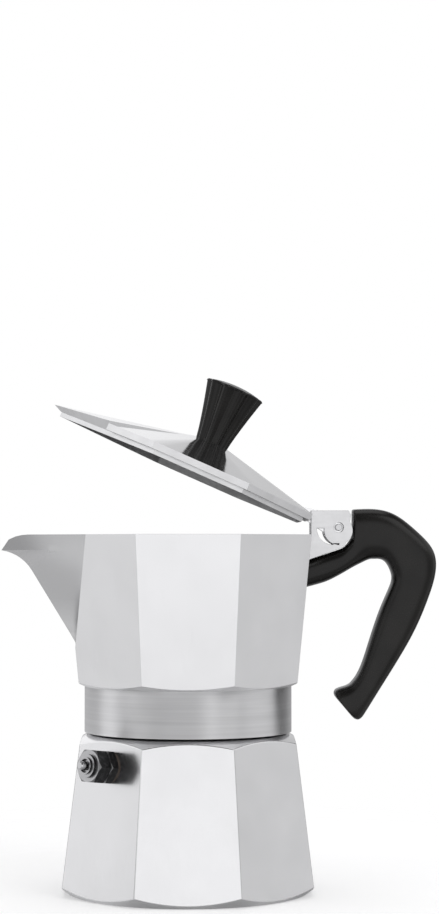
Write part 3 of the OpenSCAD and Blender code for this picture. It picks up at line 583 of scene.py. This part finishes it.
def thread_points(z0, z1, root, crest, lead=2.0, per_turn=96):
    """A ridge of triangular section climbing a helix: at turn s its foot spans the
    lead and its crest stands crest - root out, fading to nothing at both ends."""
    turns = (z1 - z0) / lead
    s = np.linspace(0, turns, int(turns * per_turn) + 1)
    fade = np.clip(np.minimum(s, turns - s) * 4, 0, 1)[:, None]
    across = np.array([-0.48, -0.40, -0.08, 0.08, 0.40, 0.48])
    height = np.array([-0.12, 0.06, 1.0, 1.0, 0.06, -0.12])
    r = root + np.where(height > 0, height * (crest - root) * fade, height)
    z = z0 + lead * s[:, None] + across * lead
    a = (2 * np.pi * s)[:, None] + 0 * across
    return np.stack([r * np.cos(a), r * np.sin(a), z], axis=-1)


thread = thread_points(61.9, 66.8, NECK_R, THREAD_R)
shell("neck_thread", [(thread[:, ::-1], 0)], ("polished_flare",), "boiler", sharp=60)


# -------------------- upper chamber

def chamber_apothem(z):
    """Half-width of the upper chamber, growing straight from its foot to its rim."""
    return CHAMBER_AP + (RIM_AP - CHAMBER_AP) * (z - CHAMBER_Z) / (RIM_Z - CHAMBER_Z)


def keel(z):
    """Foremost line of the spout: up the facet, straight out at 58.5 degrees, then
    along an arc of 15 mm that flattens to 8 degrees at the tip."""
    a = np.radians(np.linspace(KEEL_SLOPE, TIP_SLOPE, 24))
    x = SPOUT_TIP + NOSE_R * (np.sin(a) - np.sin(a[-1]))
    h = TIP_Z - NOSE_R * (np.cos(a[-1]) - np.cos(a))
    heights = np.concatenate([[SPOUT_Z], h, [RIM_Z + 9]])
    reach = np.concatenate([[-chamber_apothem(SPOUT_Z)], x, [SPOUT_TIP]])
    return np.where(z <= SPOUT_Z, -chamber_apothem(z), np.interp(z, heights, reach))


def straight_keel(z):
    """The keel's straight stretch, carried on up to the rim."""
    low = -chamber_apothem(SPOUT_Z)
    a = np.radians([KEEL_SLOPE, TIP_SLOPE])
    x = SPOUT_TIP + NOSE_R * (np.sin(a[0]) - np.sin(a[1]))
    h = TIP_Z - NOSE_R * (np.cos(a[1]) - np.cos(a[0]))
    drawn = low + (x - low) * (z - SPOUT_Z) / (h - SPOUT_Z)
    return np.where(z <= SPOUT_Z, -chamber_apothem(z), drawn)


def spout_root(z):
    """x where the spout's sides leave the diagonal facets: straight from the -X facet at
    the spout's foot to -34.9 at the rim."""
    foot = -chamber_apothem(SPOUT_Z)
    drawn = foot + (SPOUT_ROOT - foot) * (z - SPOUT_Z) / (RIM_Z - SPOUT_Z)
    return np.where(z <= SPOUT_Z, -chamber_apothem(z), drawn)


def outline(ap, root, tip):
    """Nine corners, anticlockwise: the octagon of half-width ap with its -X side
    drawn from x = root on the diagonal facets to a keel at x = tip."""
    ap, root, tip = np.broadcast_arrays(ap, root, tip)
    c, y = ap * EIGHTH, ap * math.sqrt(2) + root
    x = np.stack([ap, ap, c, -c, root, tip, root, -c, c], axis=-1)
    y = np.stack([-c, c, ap, ap, y, 0 * y, -y, -ap, -ap], axis=-1)
    return np.stack([x, y], axis=-1)


def inset(corners, d):
    """Corners moved inwards by d, square to both their sides."""
    step = np.roll(corners, -1, axis=-2) - corners
    normal = np.stack([-step[..., 1], step[..., 0]], axis=-1)
    normal = normal / np.linalg.norm(normal, axis=-1, keepdims=True)
    before = np.roll(normal, 1, axis=-2)
    dot = (normal * before).sum(-1, keepdims=True)
    return corners + d * (normal + before) / (1 + dot)


def along(corners, side, t):
    """The point a share t along the given side, for each column."""
    start = np.take_along_axis(corners, side[..., None, None], axis=-2)[..., 0, :]
    end = np.take_along_axis(corners, ((side + 1) % 9)[..., None, None], axis=-2)[..., 0, :]
    return start + (end - start) * t[..., None]


# Each column's side and share along it, and the spout's two sides among the nine.
SIDES = np.repeat(np.arange(9), 14)
SHARES = np.tile(np.arange(14) / 14, 9)
TO_KEEL, FROM_KEEL = 4, 5

FACET, TURNED, INNER, RIM, SPOUT = range(5)   # the chamber's finishes, in the piece's order


def chamber_row(z, d):
    """The points at heights z, one per column, on the wall moved inwards by d. The
    spout's sides are flat; towards the keel, at a share u of a side, they flare out
    with u cubed to the nose."""
    corners = outline(chamber_apothem(z), spout_root(z), straight_keel(z))
    flat = along(inset(corners, d), SIDES, SHARES)
    u = np.where(SIDES == TO_KEEL, SHARES, np.where(SIDES == FROM_KEEL, 1 - SHARES, 0))
    flat[:, 0] += (keel(z) - straight_keel(z)) * u ** 3
    return flat


def lip_height(d):
    """Height of the rim over each column: flat, and along a quarter of an ellipse,
    half axes 9.8 and 5.5, down to the spout's tip. Each step goes halfway to the height
    that the last one's wall asks for."""
    z = np.full(SIDES.shape, RIM_Z)
    for _ in range(40):
        share = np.clip((SPOUT_TIP + LIP_L - chamber_row(z, d)[:, 0]) / LIP_L, 0, 1)
        z = 0.5 * z + 0.5 * (TIP_Z + LIP_H * np.sqrt(1 - share ** 2))
    return z


def chamber_points():
    """One closed skin: up the turned collar and its chamfer r = 36.2 + (z - 71.4) / 0.42,
    up the facets and the spout, over the rim, down inside, across the floor and the
    column's boss, and out through the turned steps of the collar."""
    chamfer_z, slope = 71.4, 0.42
    base = chamber_row(np.full(SIDES.shape, 72.0), 0)
    reach = np.linalg.norm(base, axis=1)
    out = reach / chamber_apothem(72.0)
    heading = base / reach[:, None]
    a1 = (RIM_AP - CHAMBER_AP) / (RIM_Z - CHAMBER_Z)
    a0 = CHAMBER_AP - CHAMBER_Z * a1
    low = (a0 * out - COLLAR_R + chamfer_z / slope) / (1 / slope - a1 * out)

    def circle(r, z):
        """Points of radius r, one on each column's heading."""
        return np.column_stack([heading * r, np.full(len(heading), z)])

    def wall(z, d):
        """Points of the wall at height z, moved inwards by d."""
        z = np.broadcast_to(z, SIDES.shape)
        return np.column_stack([chamber_row(z, d), z])

    nose = np.radians(np.linspace(KEEL_SLOPE, TIP_SLOPE, 8))[1:]
    climb = list(SPOUT_Z + (NOSE_Z - SPOUT_Z) * np.linspace(0, 1, 7)[1:])
    climb += list(TIP_Z - NOSE_R * (np.cos(nose[-1]) - np.cos(nose)))
    collar = [circle(COLLAR_R, z) for z in (COLLAR_Z, 56.4, 63, chamfer_z)]
    facets = [wall(low + (SPOUT_Z - low) * share, 0) for share in np.linspace(0, 1, 4)]
    facets += [wall(z, 0) for z in climb]
    top, inner = lip_height(0), lip_height(WALL)
    facets += [wall(TIP_Z + (top - TIP_Z) * share, 0) for share in (0.35, 0.7, 1)]
    inside = [wall(TIP_Z + (inner - TIP_Z) * share, WALL) for share in (1, 0.7, 0.35)]
    inside += [wall(z, WALL) for z in [TIP_Z - 0.5, *climb[-2::-1], SPOUT_Z, 81, FLOOR_Z + 3]]
    inside += [wall(FLOOR_Z + 0.9, 3.5), wall(FLOOR_Z, 5.6)]
    boss = [(14, FLOOR_Z), (10, FLOOR_Z), (8.9, 75.5), (8.5, 76.6), (8.5, 78.7), (8.1, 79.1),
            (5, 79.1)]
    seats = [(5, 73.1), (23.8, 71.1), (25.8, 70.3), (28, 70.3), (28, 71.8), (30.8, 71.8),
             (30.8, 68.4), (33.4, 68.4), (33.4, 61), (COLLAR_BORE_R, 58.5),
             (COLLAR_BORE_R, COLLAR_Z)]
    rows = collar + facets + inside + [circle(r, z) for r, z in boss + seats] + collar[:1]
    bands = [TURNED] * len(collar) + [FACET] * (len(facets) - 1) + [RIM]
    bands += [INNER] * (len(inside) + len(boss))
    bands += [TURNED] * (len(rows) - 1 - len(bands))
    return np.array(rows), np.array(bands)


def creased(piece):
    """Keeps the lines crisp where the spout's sides leave the diagonal facets."""
    near = 0.02
    mesh = piece.data
    spots = np.empty(len(mesh.vertices) * 3, dtype=np.float32)
    mesh.vertices.foreach_get("co", spots)
    x, y, z = spots.reshape(-1, 3).T / MM
    root = spout_root(z)
    beside = np.abs(y) - (chamber_apothem(z) * math.sqrt(2) + root)
    on_root = (np.abs(x - root) < near) & (np.abs(beside) < near) & (z > SPOUT_Z - near)
    ends = np.empty(len(mesh.edges) * 2, dtype=np.int32)
    mesh.edges.foreach_get("vertices", ends)
    crisp = np.empty(len(mesh.edges), dtype=bool)
    mesh.attributes["sharp_edge"].data.foreach_get("value", crisp)
    crisp |= on_root[ends.reshape(-1, 2)].all(axis=1)
    mesh.attributes["sharp_edge"].data.foreach_set("value", crisp)


points, bands = chamber_points()
# the spout's sides take the facets' finish with painted shade
lifted = (bands == FACET) & (points[:-1, 0, 2] > SPOUT_Z - 0.01)
beside_keel = (SIDES == TO_KEEL) | (SIDES == FROM_KEEL)
bands = np.where(lifted[:, None] & beside_keel, SPOUT, bands[:, None])
creased(shell("chamber_body", [(points, bands)],
              ("satin_facets", "turned_bright", "inner_casting", "turned_bright", "satin_spout_painted_shade"),
              "upper", ("upper_chamber",), bevel=0.5, sharp=17.0))


# -------------------- hinge

def arc(x, z, r, start, end, count=24):
    """Points round (x, z) at radius r, from one angle in degrees to another."""
    t = np.radians(np.linspace(start, end, count))
    return np.stack([x + r * np.cos(t), z + r * np.sin(t)], axis=1)


def cheek_outline():
    """The bar, its bracket and the ear of radius 4.9 that stands out behind them."""
    low, high = np.array([54.7, 120.0]), np.array([56.9, 131.2])
    centre = np.array([PIN_X, PIN_Z - EAR_DROP])
    step = high - low
    b, c = step @ (low - centre), (low - centre) @ (low - centre) - EAR_R ** 2
    root = math.sqrt(b * b - (step @ step) * c)
    first, last = [low + step * (-b + sign * root) / (step @ step) for sign in (-1, 1)]
    angles = [math.degrees(math.atan2(p[1] - centre[1], p[0] - centre[0])) for p in (first, last)]
    ear = arc(*centre, EAR_R, *angles, 16)
    return np.concatenate([[[41.2, 115.5], [42.9, 115.7], low], ear,
                           [high, [56.0, 132.6], [42.9, 132.6], [42.9, 123.9], [41.2, 123.9]]])


def cheek_slot():
    """The crescent between a circle of 5.75 ahead of the pin and one of 5.05 round the
    ear's middle."""
    outer = arc(PIN_X - 1.9, PIN_Z - 0.3, 5.75, 180, 270, 20)
    inner = arc(PIN_X, PIN_Z - EAR_DROP, 5.05, 247.9, 171.0, 20)
    return np.concatenate([outer, inner])


for side, name in ((-1, "hinge_cheek_front"), (1, "hinge_cheek_back")):
    low, high = sorted((side * 3.8, side * 6.8))
    slab(name, cheek_outline(), low, high, ("satin_edge",), "upper", ("upper_chamber",),
         holes=(cheek_slot(), arc(PIN_X, PIN_Z, 1.75, 0, 345)), bevel=0.28)
slab("hinge_bridge", [[41.2, 115.5], [42.9, 115.7], [54.7, 120.0], [54.0, 121.0], [47.5, 120.5],
                      [41.2, 119.9]],
     -3.8, 3.8, ("inner_casting",), "upper", ("upper_chamber",), bevel=0.2)


def rod(z, x, r, half):
    """A pin along Y with eased ends, turned about its own axis."""
    profile = [(0, -half), (r - 0.25, -half), (r, -half + 0.25), (r, half - 0.25),
               (r - 0.25, half), (0, half)]
    grid = turned(profile, 48)
    return np.stack([x + grid[..., 0], grid[..., 2], z - grid[..., 1]], axis=-1)


shell("hinge_pin_rod", [(rod(PIN_Z, PIN_X, 1.25, 6.95), 0)], ("bright_steel",), "upper",
      ("hinge_pin",), sharp=40)


# -------------------- handle

# Each cut across the handle: x and z of its upper end and of its lower end, from the pin.
HANDLE_CUTS = np.array([
    [-10.54, -11.5, -11.52, -21.0], [-4, -9.25, -7.5, -20], [1.6, -7.35, -3.6, -18.8],
    [2.6, -6.7, 0.8, -16.5], [4.9, -3.7, 4.2, -14.5], [5.15, -2.8, 5.8, -13.6],
    [5.15, 5.2, 8.6, -12.2], [5.15, 6.35, 10.5, -11.3], [6.4, 6.4, 12, -11.0],
    [13.5, 6.9, 13.6, -10.95], [20.5, 5.6, 15.9, -11.0], [27.0, -0.7, 17.6, -12.6],
    [33.4, -6.0, 18.9, -15.9], [35.0, -10.8, 19.4, -18.0], [34.7, -17.4, 18.3, -21.0],
    [31.2, -26.2, 15.3, -27.0], [27.8, -35.3, 12.8, -34.0], [21.6, -45.6, 10.3, -42.0],
    [16.2, -54.0, 8.1, -49.4], [12.2, -60.4, 5.6, -53.6], [9.2, -65.2, 3.2, -55.3],
    [8.1, -66.7, 0.9, -55.9], [7.0, -67.3, -0.7, -56.5], [5.8, -67.0, -1.4, -57.5],
    [4.8, -66.1, -1.3, -58.7], [4.2, -65.3, -0.7, -59.6]])
EASED_FROM, EASED_TO = 68, 160   # the stretch of softened cuts that the hand holds


def handle_points():
    """Rounded squares |u|^3.4 + |v|^3.4 = 1 over each cut across the handle. The run of
    cuts is softened by cutting every step at a quarter and three quarters; along the
    grip each cut then moves halfway to its neighbours' mean, over and over, and the
    heel narrows by a square law to its end."""
    heel_cuts = 18
    cuts = HANDLE_CUTS
    for _ in range(3):
        before, after = cuts[:-1], cuts[1:]
        steps = np.stack([before * 0.75 + after * 0.25, before * 0.25 + after * 0.75], axis=1)
        cuts = np.concatenate([cuts[:1], steps.reshape(-1, 4), cuts[-1:]])
    for _ in range(36):
        mean = (cuts[EASED_FROM - 1:EASED_TO - 1] + cuts[EASED_FROM + 1:EASED_TO + 1]) / 2
        cuts[EASED_FROM:EASED_TO] += (mean - cuts[EASED_FROM:EASED_TO]) / 2
    upper, lower = cuts[:, None, :2], cuts[:, None, 2:]
    a = np.radians(np.arange(0, 360, 7.5))
    power = HANDLE_SQUARE
    size = (np.abs(np.cos(a)) ** power + np.abs(np.sin(a)) ** power) ** (-1 / power)
    u, v = size * np.cos(a), size * np.sin(a)
    spot = (upper + lower) / 2 + (upper - lower) / 2 * u[:, None]
    heel = np.clip(np.arange(len(cuts)) - len(cuts) + heel_cuts, 0, heel_cuts)[:, None] / heel_cuts
    thick = HANDLE_HALF * v * (1 - 0.3 * heel ** 2)
    return capped(np.stack([spot[..., 0] + PIN_X, thick, spot[..., 1] + PIN_Z], axis=-1))


shell("handle_grip", [(handle_points(), 0)], ("black_bakelite",), "upper", ("handle",), sharp=50)


# -------------------- lid and knob

def opened(corners):
    """Turns points drawn on the closed lid about the hinge pin to where it stands."""
    a = math.radians(LID_OPEN)
    x, z = corners[:, 0] - PIN_X, corners[:, 2] - PIN_Z
    return np.stack([PIN_X + x * math.cos(a) + z * math.sin(a), corners[:, 1],
                     PIN_Z - x * math.sin(a) + z * math.cos(a)], axis=1)


def lid_columns():
    """Side and share of each column. The rear side has columns at the cheek notches,
    and each beak root has one column for the pyramid and one for the beak."""
    rear = np.array([-17.36, -7.2, -7.15, -3.25, -3.2, 0, 3.2, 3.25, 7.15, 7.2])
    plain, fine = np.arange(8) / 8, np.arange(18) / 18
    shares = [(rear / LID_AP / EIGHTH + 1) / 2] + [plain] * 8
    shares[TO_KEEL], shares[FROM_KEEL] = np.append(0, fine), np.append(fine, 1)
    sides = np.repeat(np.arange(9), [len(share) for share in shares])
    shares = np.concatenate(shares)
    beak = (sides == TO_KEEL) | (sides == FROM_KEEL)
    beak[np.argmax(beak)] = False
    return sides, shares, beak


LID_SIDES, LID_SHARES, ON_BEAK = lid_columns()
LID_CORNERS = outline(np.array(LID_AP), np.array(BEAK_ROOT), np.array(BEAK_TIP))


def lid_row(d):
    """The lid's edge moved inwards by d, one point per column."""
    corners = np.broadcast_to(inset(LID_CORNERS, d), (len(LID_SIDES), 9, 2))
    return along(corners, LID_SIDES, LID_SHARES)


def lid_top(flat):
    """Height of the top over the closed lid's edge: an eight-sided pyramid, and over
    the beak the roof from its tip and its roots to the middle, whichever is higher."""
    x, y = flat[..., 0], flat[..., 1]
    d = np.maximum(np.maximum(np.abs(x), np.abs(y)), (np.abs(x) + np.abs(y)) / math.sqrt(2))
    pyramid = LID_SKIRT + LID_APEX * (1 - d / LID_AP)
    pyramid = np.where(d > LID_AP, LID_SKIRT, pyramid)
    tip = np.array([BEAK_TIP, 0, 1.4])
    root = np.array([BEAK_ROOT, 24.656, 3.2])
    middle = np.array([0, 0, 12.5])
    n = np.cross(root - tip, middle - tip)
    roof = tip[2] - (n[0] * (x - tip[0]) + n[1] * (np.abs(y) - tip[1])) / n[2]
    height = np.where(ON_BEAK, np.maximum(pyramid * (d <= LID_AP), roof), pyramid)
    return np.minimum(height, LID_SKIRT + LID_RISE)


def lid_points():
    """One closed skin: out under the roof, which follows the top 1.9 mm below it, round
    the locating lip, out under the land, up the skirt and back in over the top. Two
    notches clear the cheeks: nothing there is nearer to the pin than 11.65 mm."""
    roof, skirt, top = 1, 2, 0
    edge, under, land = lid_row(0), lid_row(LIP_IN), lid_row(LAND_IN)
    seat = 1 - LID_RISE / LID_APEX
    rows, bands = [], []

    def add(flat, z, band):
        rows.append(np.column_stack([flat, np.broadcast_to(z, len(flat)) + LID_Z]))
        bands.append(band)

    for share in (0, seat * 0.35, seat * 0.7, 0.2, 0.35, 0.5, 0.7, 0.85, 1):
        add(under * share, lid_top(under * share) - LID_WALL, roof)
    add(under, -LIP_DEEP, roof)
    add(land, -LIP_DEEP, skirt)
    # the land takes the darkened underside finish: a painted shade line under the skirt
    add(land, 0, roof)
    add(np.where(ON_BEAK[:, None], lid_row(BEAK_IN), edge), 0, skirt)
    add(edge, lid_top(edge * 0.9999), top)
    for share in (0.93, 0.85, 0.75, 0.65, 0.55, 0.45, 0.38, 0.31, 0.25, 0.2, seat, seat * 0.6, 0):
        add(edge * share, lid_top(edge * share), top)
    grid = np.array(rows)
    across = np.abs(edge[:, 1])
    notch = (LID_SIDES == 0) & (across > 3.22) & (across < 7.18)
    swing = PIN_X - np.sqrt(np.maximum(NOTCH_R ** 2 - (grid[..., 2] - PIN_Z) ** 2, 0))
    clear = notch & (grid[..., 0] > swing)
    grid[..., 0] = np.where(clear, swing, grid[..., 0])
    return grid, np.array(bands[:-1])


points, bands = lid_points()
shell("lid_plate", [(points, bands)], ("mirror_polish", "shaded_casting", "satin_edge"), "lid",
      ("lid",), bevel=0.3, sharp=11.0, turn=opened)


def tongue_outline():
    """An eye of radius 4.5 round the pin and the bar from it to the lid."""
    bar = [[50.1, 130.5], [41.9, 129.0], [37.4, 128.1], [37.4, 125.7], [40.9, 124.7], [50.1, 122.9]]
    return np.concatenate([arc(PIN_X, PIN_Z, 4.5, -90, 90), bar])


slab("lid_tongue", tongue_outline(), -3.5, 3.5, ("mirror_polish",), "lid", ("lid",), turn=opened)


def knob_points():
    """Ten shallow flutes r(a) = r (1 - 0.07 (1 - cos 10 a)), flaring from the foot to
    the top as 5.9 + 4.75 s^1.2, with an eased top edge and a low dome."""
    a = np.linspace(0, 2 * np.pi, 160, endpoint=False)
    s, dome = np.linspace(0.04, 0.955, 14), np.linspace(0.85, 0, 7)
    t = np.radians(np.linspace(0, 90, 6))
    r = [[0, KNOB_R], KNOB_R + (KNOB_TOP_R - KNOB_R) * s ** 1.2, KNOB_TOP_R - 1 + np.cos(t),
         (KNOB_TOP_R - 1) * dome]
    z = [[0, 0], KNOB_H * s, KNOB_H - 0.9 + 0.9 * np.sin(t), KNOB_H + 1.2 * (1 - dome ** 2)]
    depth = [[0, 1], 0 * s + 1, 1 - 0.5 * np.sin(t), 0.4 * dome ** 2]
    r, z, depth = [np.concatenate(parts)[:, None] for parts in (r, z, depth)]
    r = r * (1 - FLUTE_DEPTH * depth * (1 - np.cos(KNOB_FLUTES * a)))
    z = LID_Z + LID_SKIRT + LID_RISE + z + 0 * a
    return np.stack([r * np.cos(a), r * np.sin(a), z], axis=-1)


shell("knob_grip", [(knob_points(), 0)], ("black_bakelite",), "lid", ("knob",), sharp=50,
      turn=opened)


# -------------------- funnel, seal and plate

def funnel_profile():
    """Half section from the foot of the sleeve up outside, over the flange and down
    inside: a straight side, a 3 mm bend, a 19 degree cone and a short sleeve."""
    slope = math.tan(math.radians(19))

    def line(wall):
        r, bend = 28.65 - wall, 3 - wall
        turns = np.radians(np.linspace(0, 71, 10))
        side = [(r - bend * (1 - math.cos(t)), 48.8 - bend * math.sin(t)) for t in turns]
        neck = 6.35 - wall
        foot = side[-1][1] - (side[-1][0] - 9.45) * slope
        return side + [(9.45, foot), (8.3, foot - 0.7), (neck + 0.6, foot - 2.2),
                       (neck, foot - 4.0), (neck - 0.5, foot - 5.6), (neck - 0.85, foot - 7)]

    outside, inside = line(0)[::-1], line(0.8)
    rim = [(28.65, 67.1), (28.9, 67.4), (29.3, 67.4), (29.45, 67.55), (29.45, 67.85),
           (29.3, 68.0), (28.3, 68.0), (27.85, 67.5)]
    return outside + rim + inside + [outside[0]]


shell("funnel_bowl", [(turned(funnel_profile()), 0)], ("stamped_sheet",), "funnel",
      ("funnel_basket",), sharp=50)

# Half sections of the rings and the disc: r and z.
TUBE = [(5.45, 7.3), (5.2, 7.0), (4.7, 7.0), (4.45, 7.3), (4.45, 34.7), (5.45, 34.7)]
SEAL = [(23.2, 68.25), (23.35, 68.05), (30.35, 68.05), (30.5, 68.2), (30.5, 69.6), (30.35, 69.75),
        (23.35, 69.75), (23.2, 69.55)]
PLATE = [(0, 69.8), (28.2, 69.8), (28.6, 69.9), (30.3, 71.15), (30.5, 71.35), (30.5, 71.75),
         (30.3, 71.9), (30.0, 71.85), (28.3, 70.42), (28.0, 70.3), (0, 70.3)]

shell("funnel_tube", [(turned(TUBE + TUBE[:1], 96), 0)], ("stamped_sheet",), "funnel",
      ("funnel_stem",), sharp=50)
shell("seal_ring", [(turned(SEAL + SEAL[:1]), 0)], ("seal_rubber",), "seal", ("gasket",), sharp=60)
shell("plate_disc", [(turned(PLATE), 0)], ("pierced_sheet",), "plate", ("filter_plate",), sharp=50)


# -------------------- relief spring

def coil_points():
    """Wire of radius 0.225 wound 3.5 turns at radius 2.15 round the valve's axis: at
    turn s and angle t about the wire, r = 2.15 + 0.225 cos t and the height over the
    facet is 3.55 s / 3.5 - 1.025 + 0.225 sin t. Each end closes on its middle."""
    s = np.linspace(0, COIL_TURNS, 127)[:, None]
    t = np.linspace(0, 2 * np.pi, 12, endpoint=False)
    r = COIL_R + COIL_WIRE * np.cos(t) + 0 * s
    a = 2 * np.pi * s + 0 * t
    height = COIL_LOW + COIL_LENGTH * s / COIL_TURNS + COIL_WIRE * np.sin(t)
    grid = capped(np.stack([r * np.cos(a), r * np.sin(a), height], axis=-1))
    axis = np.array(VALVE_AXIS)
    across = np.cross(axis, (0, 0, 1))
    across = across / np.linalg.norm(across)
    return VALVE_FOOT + grid @ np.array([across, np.cross(axis, across), axis])


coil = shell("valve_coil", [(coil_points()[:, ::-1], 0)], ("bright_steel",), "boiler",
             ("valve_spring",), sharp=60)
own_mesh(coil)


# -------------------- nodes kept as they are

KEPT = {
    "valve_body": "dark_plated", "valve_cap": "dark_plated", "valve_washer": "red_fibre",
    "valve_pin": "bright_steel", "funnel_screen": "stamped_sheet",
    "coffee_column": "inner_casting", "column_cap": "stamped_sheet", "handle_screw": "bright_steel",
    "handle_washer": "bright_steel", "knob_screw": "bright_steel", "knob_washer": "bright_steel",
}
for node, name in KEPT.items():
    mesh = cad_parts[node].data
    mesh.materials.clear()
    mesh.materials.append(FINISHES[name])


# -------------------- studio

FLOOR = 0.3                                           # half width of the floor, metres
SOFTBOX, LAMP_AIM = 0.9, Vector((0, 0, 0.08))         # lamps, metres
CAMERA, CAMERA_AIM = Vector((0, -0.8, 0.12)), Vector((0.011, 0, 0.1515))
PIXEL, PICTURE_H, SENSOR = 0.352 * MM, 914, 36        # metres, pixels and millimetres


def studio(paint, x, y, z):
    """What polished metal sees in the direction x, y, z. At eye level there is a white
    card in front, grey walls with a bright panel and a dark gap on each side, and a grey
    back, whose left is paler just below. Further down the card ends and the panels are
    softer, over a dark table. Above stand bright boxes on both sides, a dark front and a
    white back, under a dark ring and a grey middle."""
    turn = paint.add("ShaderNodeMath", {"operation": "ARCTAN2"}, {0: x, 1: y})
    around = Signal(paint, turn.outputs[0]) / (2 * math.pi) + 0.5

    def ring(*stops):
        """Tones round the horizon: 0 and 1 look to -Y, 0.25 to -X, 0.75 to +X."""
        stops = [(at, grey(tone)) for at, tone in stops]
        return paint.add("ShaderNodeValToRGB", {"stops": stops}, {"Fac": around}).outputs[0]

    level = ring((0, 1.08), (0.07, 1.04), (0.10, 0.48), (0.14, 0.42), (0.228, 0.40), (0.247, 0.86),
                 (0.275, 1.15), (0.30, 1.0), (0.33, 0.20), (0.40, 0.20), (0.43, 0.48), (0.58, 0.46),
                 (0.605, 0.08), (0.655, 0.10), (0.685, 0.80), (0.705, 1.05), (0.73, 0.74),
                 (0.76, 0.60), (0.81, 0.58), (0.86, 0.45), (0.90, 0.50), (0.93, 1.04), (1, 1.08))
    above = ring((0, 0.12), (0.11, 0.12), (0.16, 0.60), (0.19, 1.15), (0.30, 1.15), (0.36, 0.95),
                 (0.50, 1.0), (0.515, 0.80), (0.53, 0.58), (0.60, 0.48), (0.66, 0.60), (0.70, 1.15),
                 (0.81, 1.15), (0.84, 0.60), (0.89, 0.12), (1, 0.12))
    below = ring((0, 0.45), (0.06, 0.40), (0.19, 0.44), (0.23, 0.85), (0.27, 0.75), (0.29, 0.62),
                 (0.46, 0.60), (0.55, 0.40), (0.62, 0.14), (0.67, 0.14), (0.70, 0.40), (0.73, 0.80),
                 (0.77, 0.80), (0.81, 0.44), (0.94, 0.40), (1, 0.45))
    sunk = ring((0, 1.10), (0.07, 1.08), (0.10, 0.52), (0.14, 0.45), (0.228, 0.45), (0.247, 0.86),
                (0.27, 0.80), (0.29, 0.62), (0.46, 0.60), (0.54, 0.46), (0.605, 0.20), (0.655, 0.20),
                (0.69, 0.45), (0.72, 0.80), (0.76, 0.60), (0.81, 0.58), (0.86, 0.45), (0.90, 0.55),
                (0.93, 1.08), (1, 1.10))
    lift = z + 0.20 * y.fade(0.3, 0.8)
    tone = paint.mixed((0 - z).fade(0.03, 0.10), level, sunk)
    tone = paint.mixed(lift.fade(0.25, 0.38), tone, above)
    tone = paint.mixed(z.fade(0.62, 0.74), tone, grey(0.10))
    tone = paint.mixed(z.fade(0.92, 0.98), tone, grey(0.45))
    tone = paint.mixed((0 - z).fade(0.26, 0.36), tone, below)
    return paint.mixed((0 - z).fade(0.75, 0.92), tone, grey(0.10))


def seen_through(paint, path):
    """1 for rays from the camera, also through what lets them pass, and 0 for others."""
    return Signal(paint, path["Is Camera Ray"]).most(Signal(paint, path["Is Transmission Ray"]))


def studio_world():
    """White to the camera, the studio to polished metal and plain light to the rest."""
    world = bpy.data.worlds.new("studio")
    bpy.context.scene.world = world
    world.use_nodes = True
    paint = Paint(world.node_tree)
    x, y, z = paint.parts(paint.add("ShaderNodeTexCoord").outputs["Generated"])
    path = paint.add("ShaderNodeLightPath").outputs
    shade = paint.mixed(Signal(paint, path["Is Glossy Ray"]), grey(0.66), studio(paint, x, y, z))
    shade = paint.mixed(seen_through(paint, path), shade, (1, 1, 1))
    light = paint.add("ShaderNodeBackground", {}, {"Color": shade, "Strength": 1.0})
    paint.add("ShaderNodeOutputWorld", {}, {"Surface": light.outputs[0]})


def floor_finish():
    """Pale floor round the pot that keeps its shadow and fades out into the white."""
    made = bpy.data.materials.new("studio_floor")
    made.use_nodes = True
    paint = Paint(made.node_tree)
    x, y = paint.parts(paint.point())[:2]
    path = paint.add("ShaderNodeLightPath").outputs
    base = paint.add("ShaderNodeBsdfDiffuse", {}, {"Color": (0.84, 0.84, 0.84, 1)})
    glow = paint.add("ShaderNodeEmission", {}, {
        "Color": (1, 1, 1, 1), "Strength": seen_through(paint, path) * 0.30})
    near = paint.add("ShaderNodeAddShader", {}, {0: base.outputs[0], 1: glow.outputs[0]})
    beyond = paint.add("ShaderNodeBsdfTransparent")
    reach = (x * x + y * y) ** 0.5
    gone = reach.fade(0.10, 0.26).most(0.7 * Signal(paint, path["Is Glossy Ray"]))
    both = paint.add("ShaderNodeMixShader", {}, {
        0: gone, 1: near.outputs[0], 2: beyond.outputs[0]})
    paint.add("ShaderNodeOutputMaterial", {}, {"Surface": both.outputs[0]})
    return made


studio_world()
floor_mesh = bpy.data.meshes.new("studio_floor")
corners = [(-FLOOR, -FLOOR, 0), (FLOOR, -FLOOR, 0), (FLOOR, FLOOR, 0), (-FLOOR, FLOOR, 0)]
floor_mesh.from_pydata(corners, [], [(0, 1, 2, 3)])
floor_mesh.materials.append(floor_finish())
floor = bpy.data.objects.new("studio_floor", floor_mesh)
bpy.context.scene.collection.objects.link(floor)
floor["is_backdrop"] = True


def softbox(name, place, power):
    """A soft square lamp at place in metres, facing the pot, of so many watts."""
    lamp = bpy.data.lights.new(name, "AREA")
    lamp.shape = "RECTANGLE"
    lamp.size, lamp.size_y = SOFTBOX, SOFTBOX
    lamp.energy = power
    holder = bpy.data.objects.new(name, lamp)
    holder.location = place
    holder.rotation_euler = (LAMP_AIM - Vector(place)).to_track_quat("-Z", "Y").to_euler()
    bpy.context.scene.collection.objects.link(holder)


softbox("key_softbox", (0.75, -0.85, 1.0), 3.6)
softbox("fill_softbox", (-1.0, -0.8, 0.6), 1.4)
softbox("top_softbox", (0.0, 0.2, 1.2), 2.0)

camera_data = bpy.data.cameras.new("camera")
camera = bpy.data.objects.new("camera", camera_data)
bpy.context.scene.collection.objects.link(camera)
camera.location = CAMERA
aim = CAMERA_AIM - CAMERA
camera.rotation_euler = aim.to_track_quat("-Z", "Y").to_euler()
camera_data.sensor_width = SENSOR
camera_data.lens = aim.length / (PIXEL * PICTURE_H) * SENSOR
camera_data.clip_start, camera_data.clip_end = 0.05, 20
bpy.context.scene.camera = camera
bpy.context.scene.view_settings.view_transform = "Standard"

low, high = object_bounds()
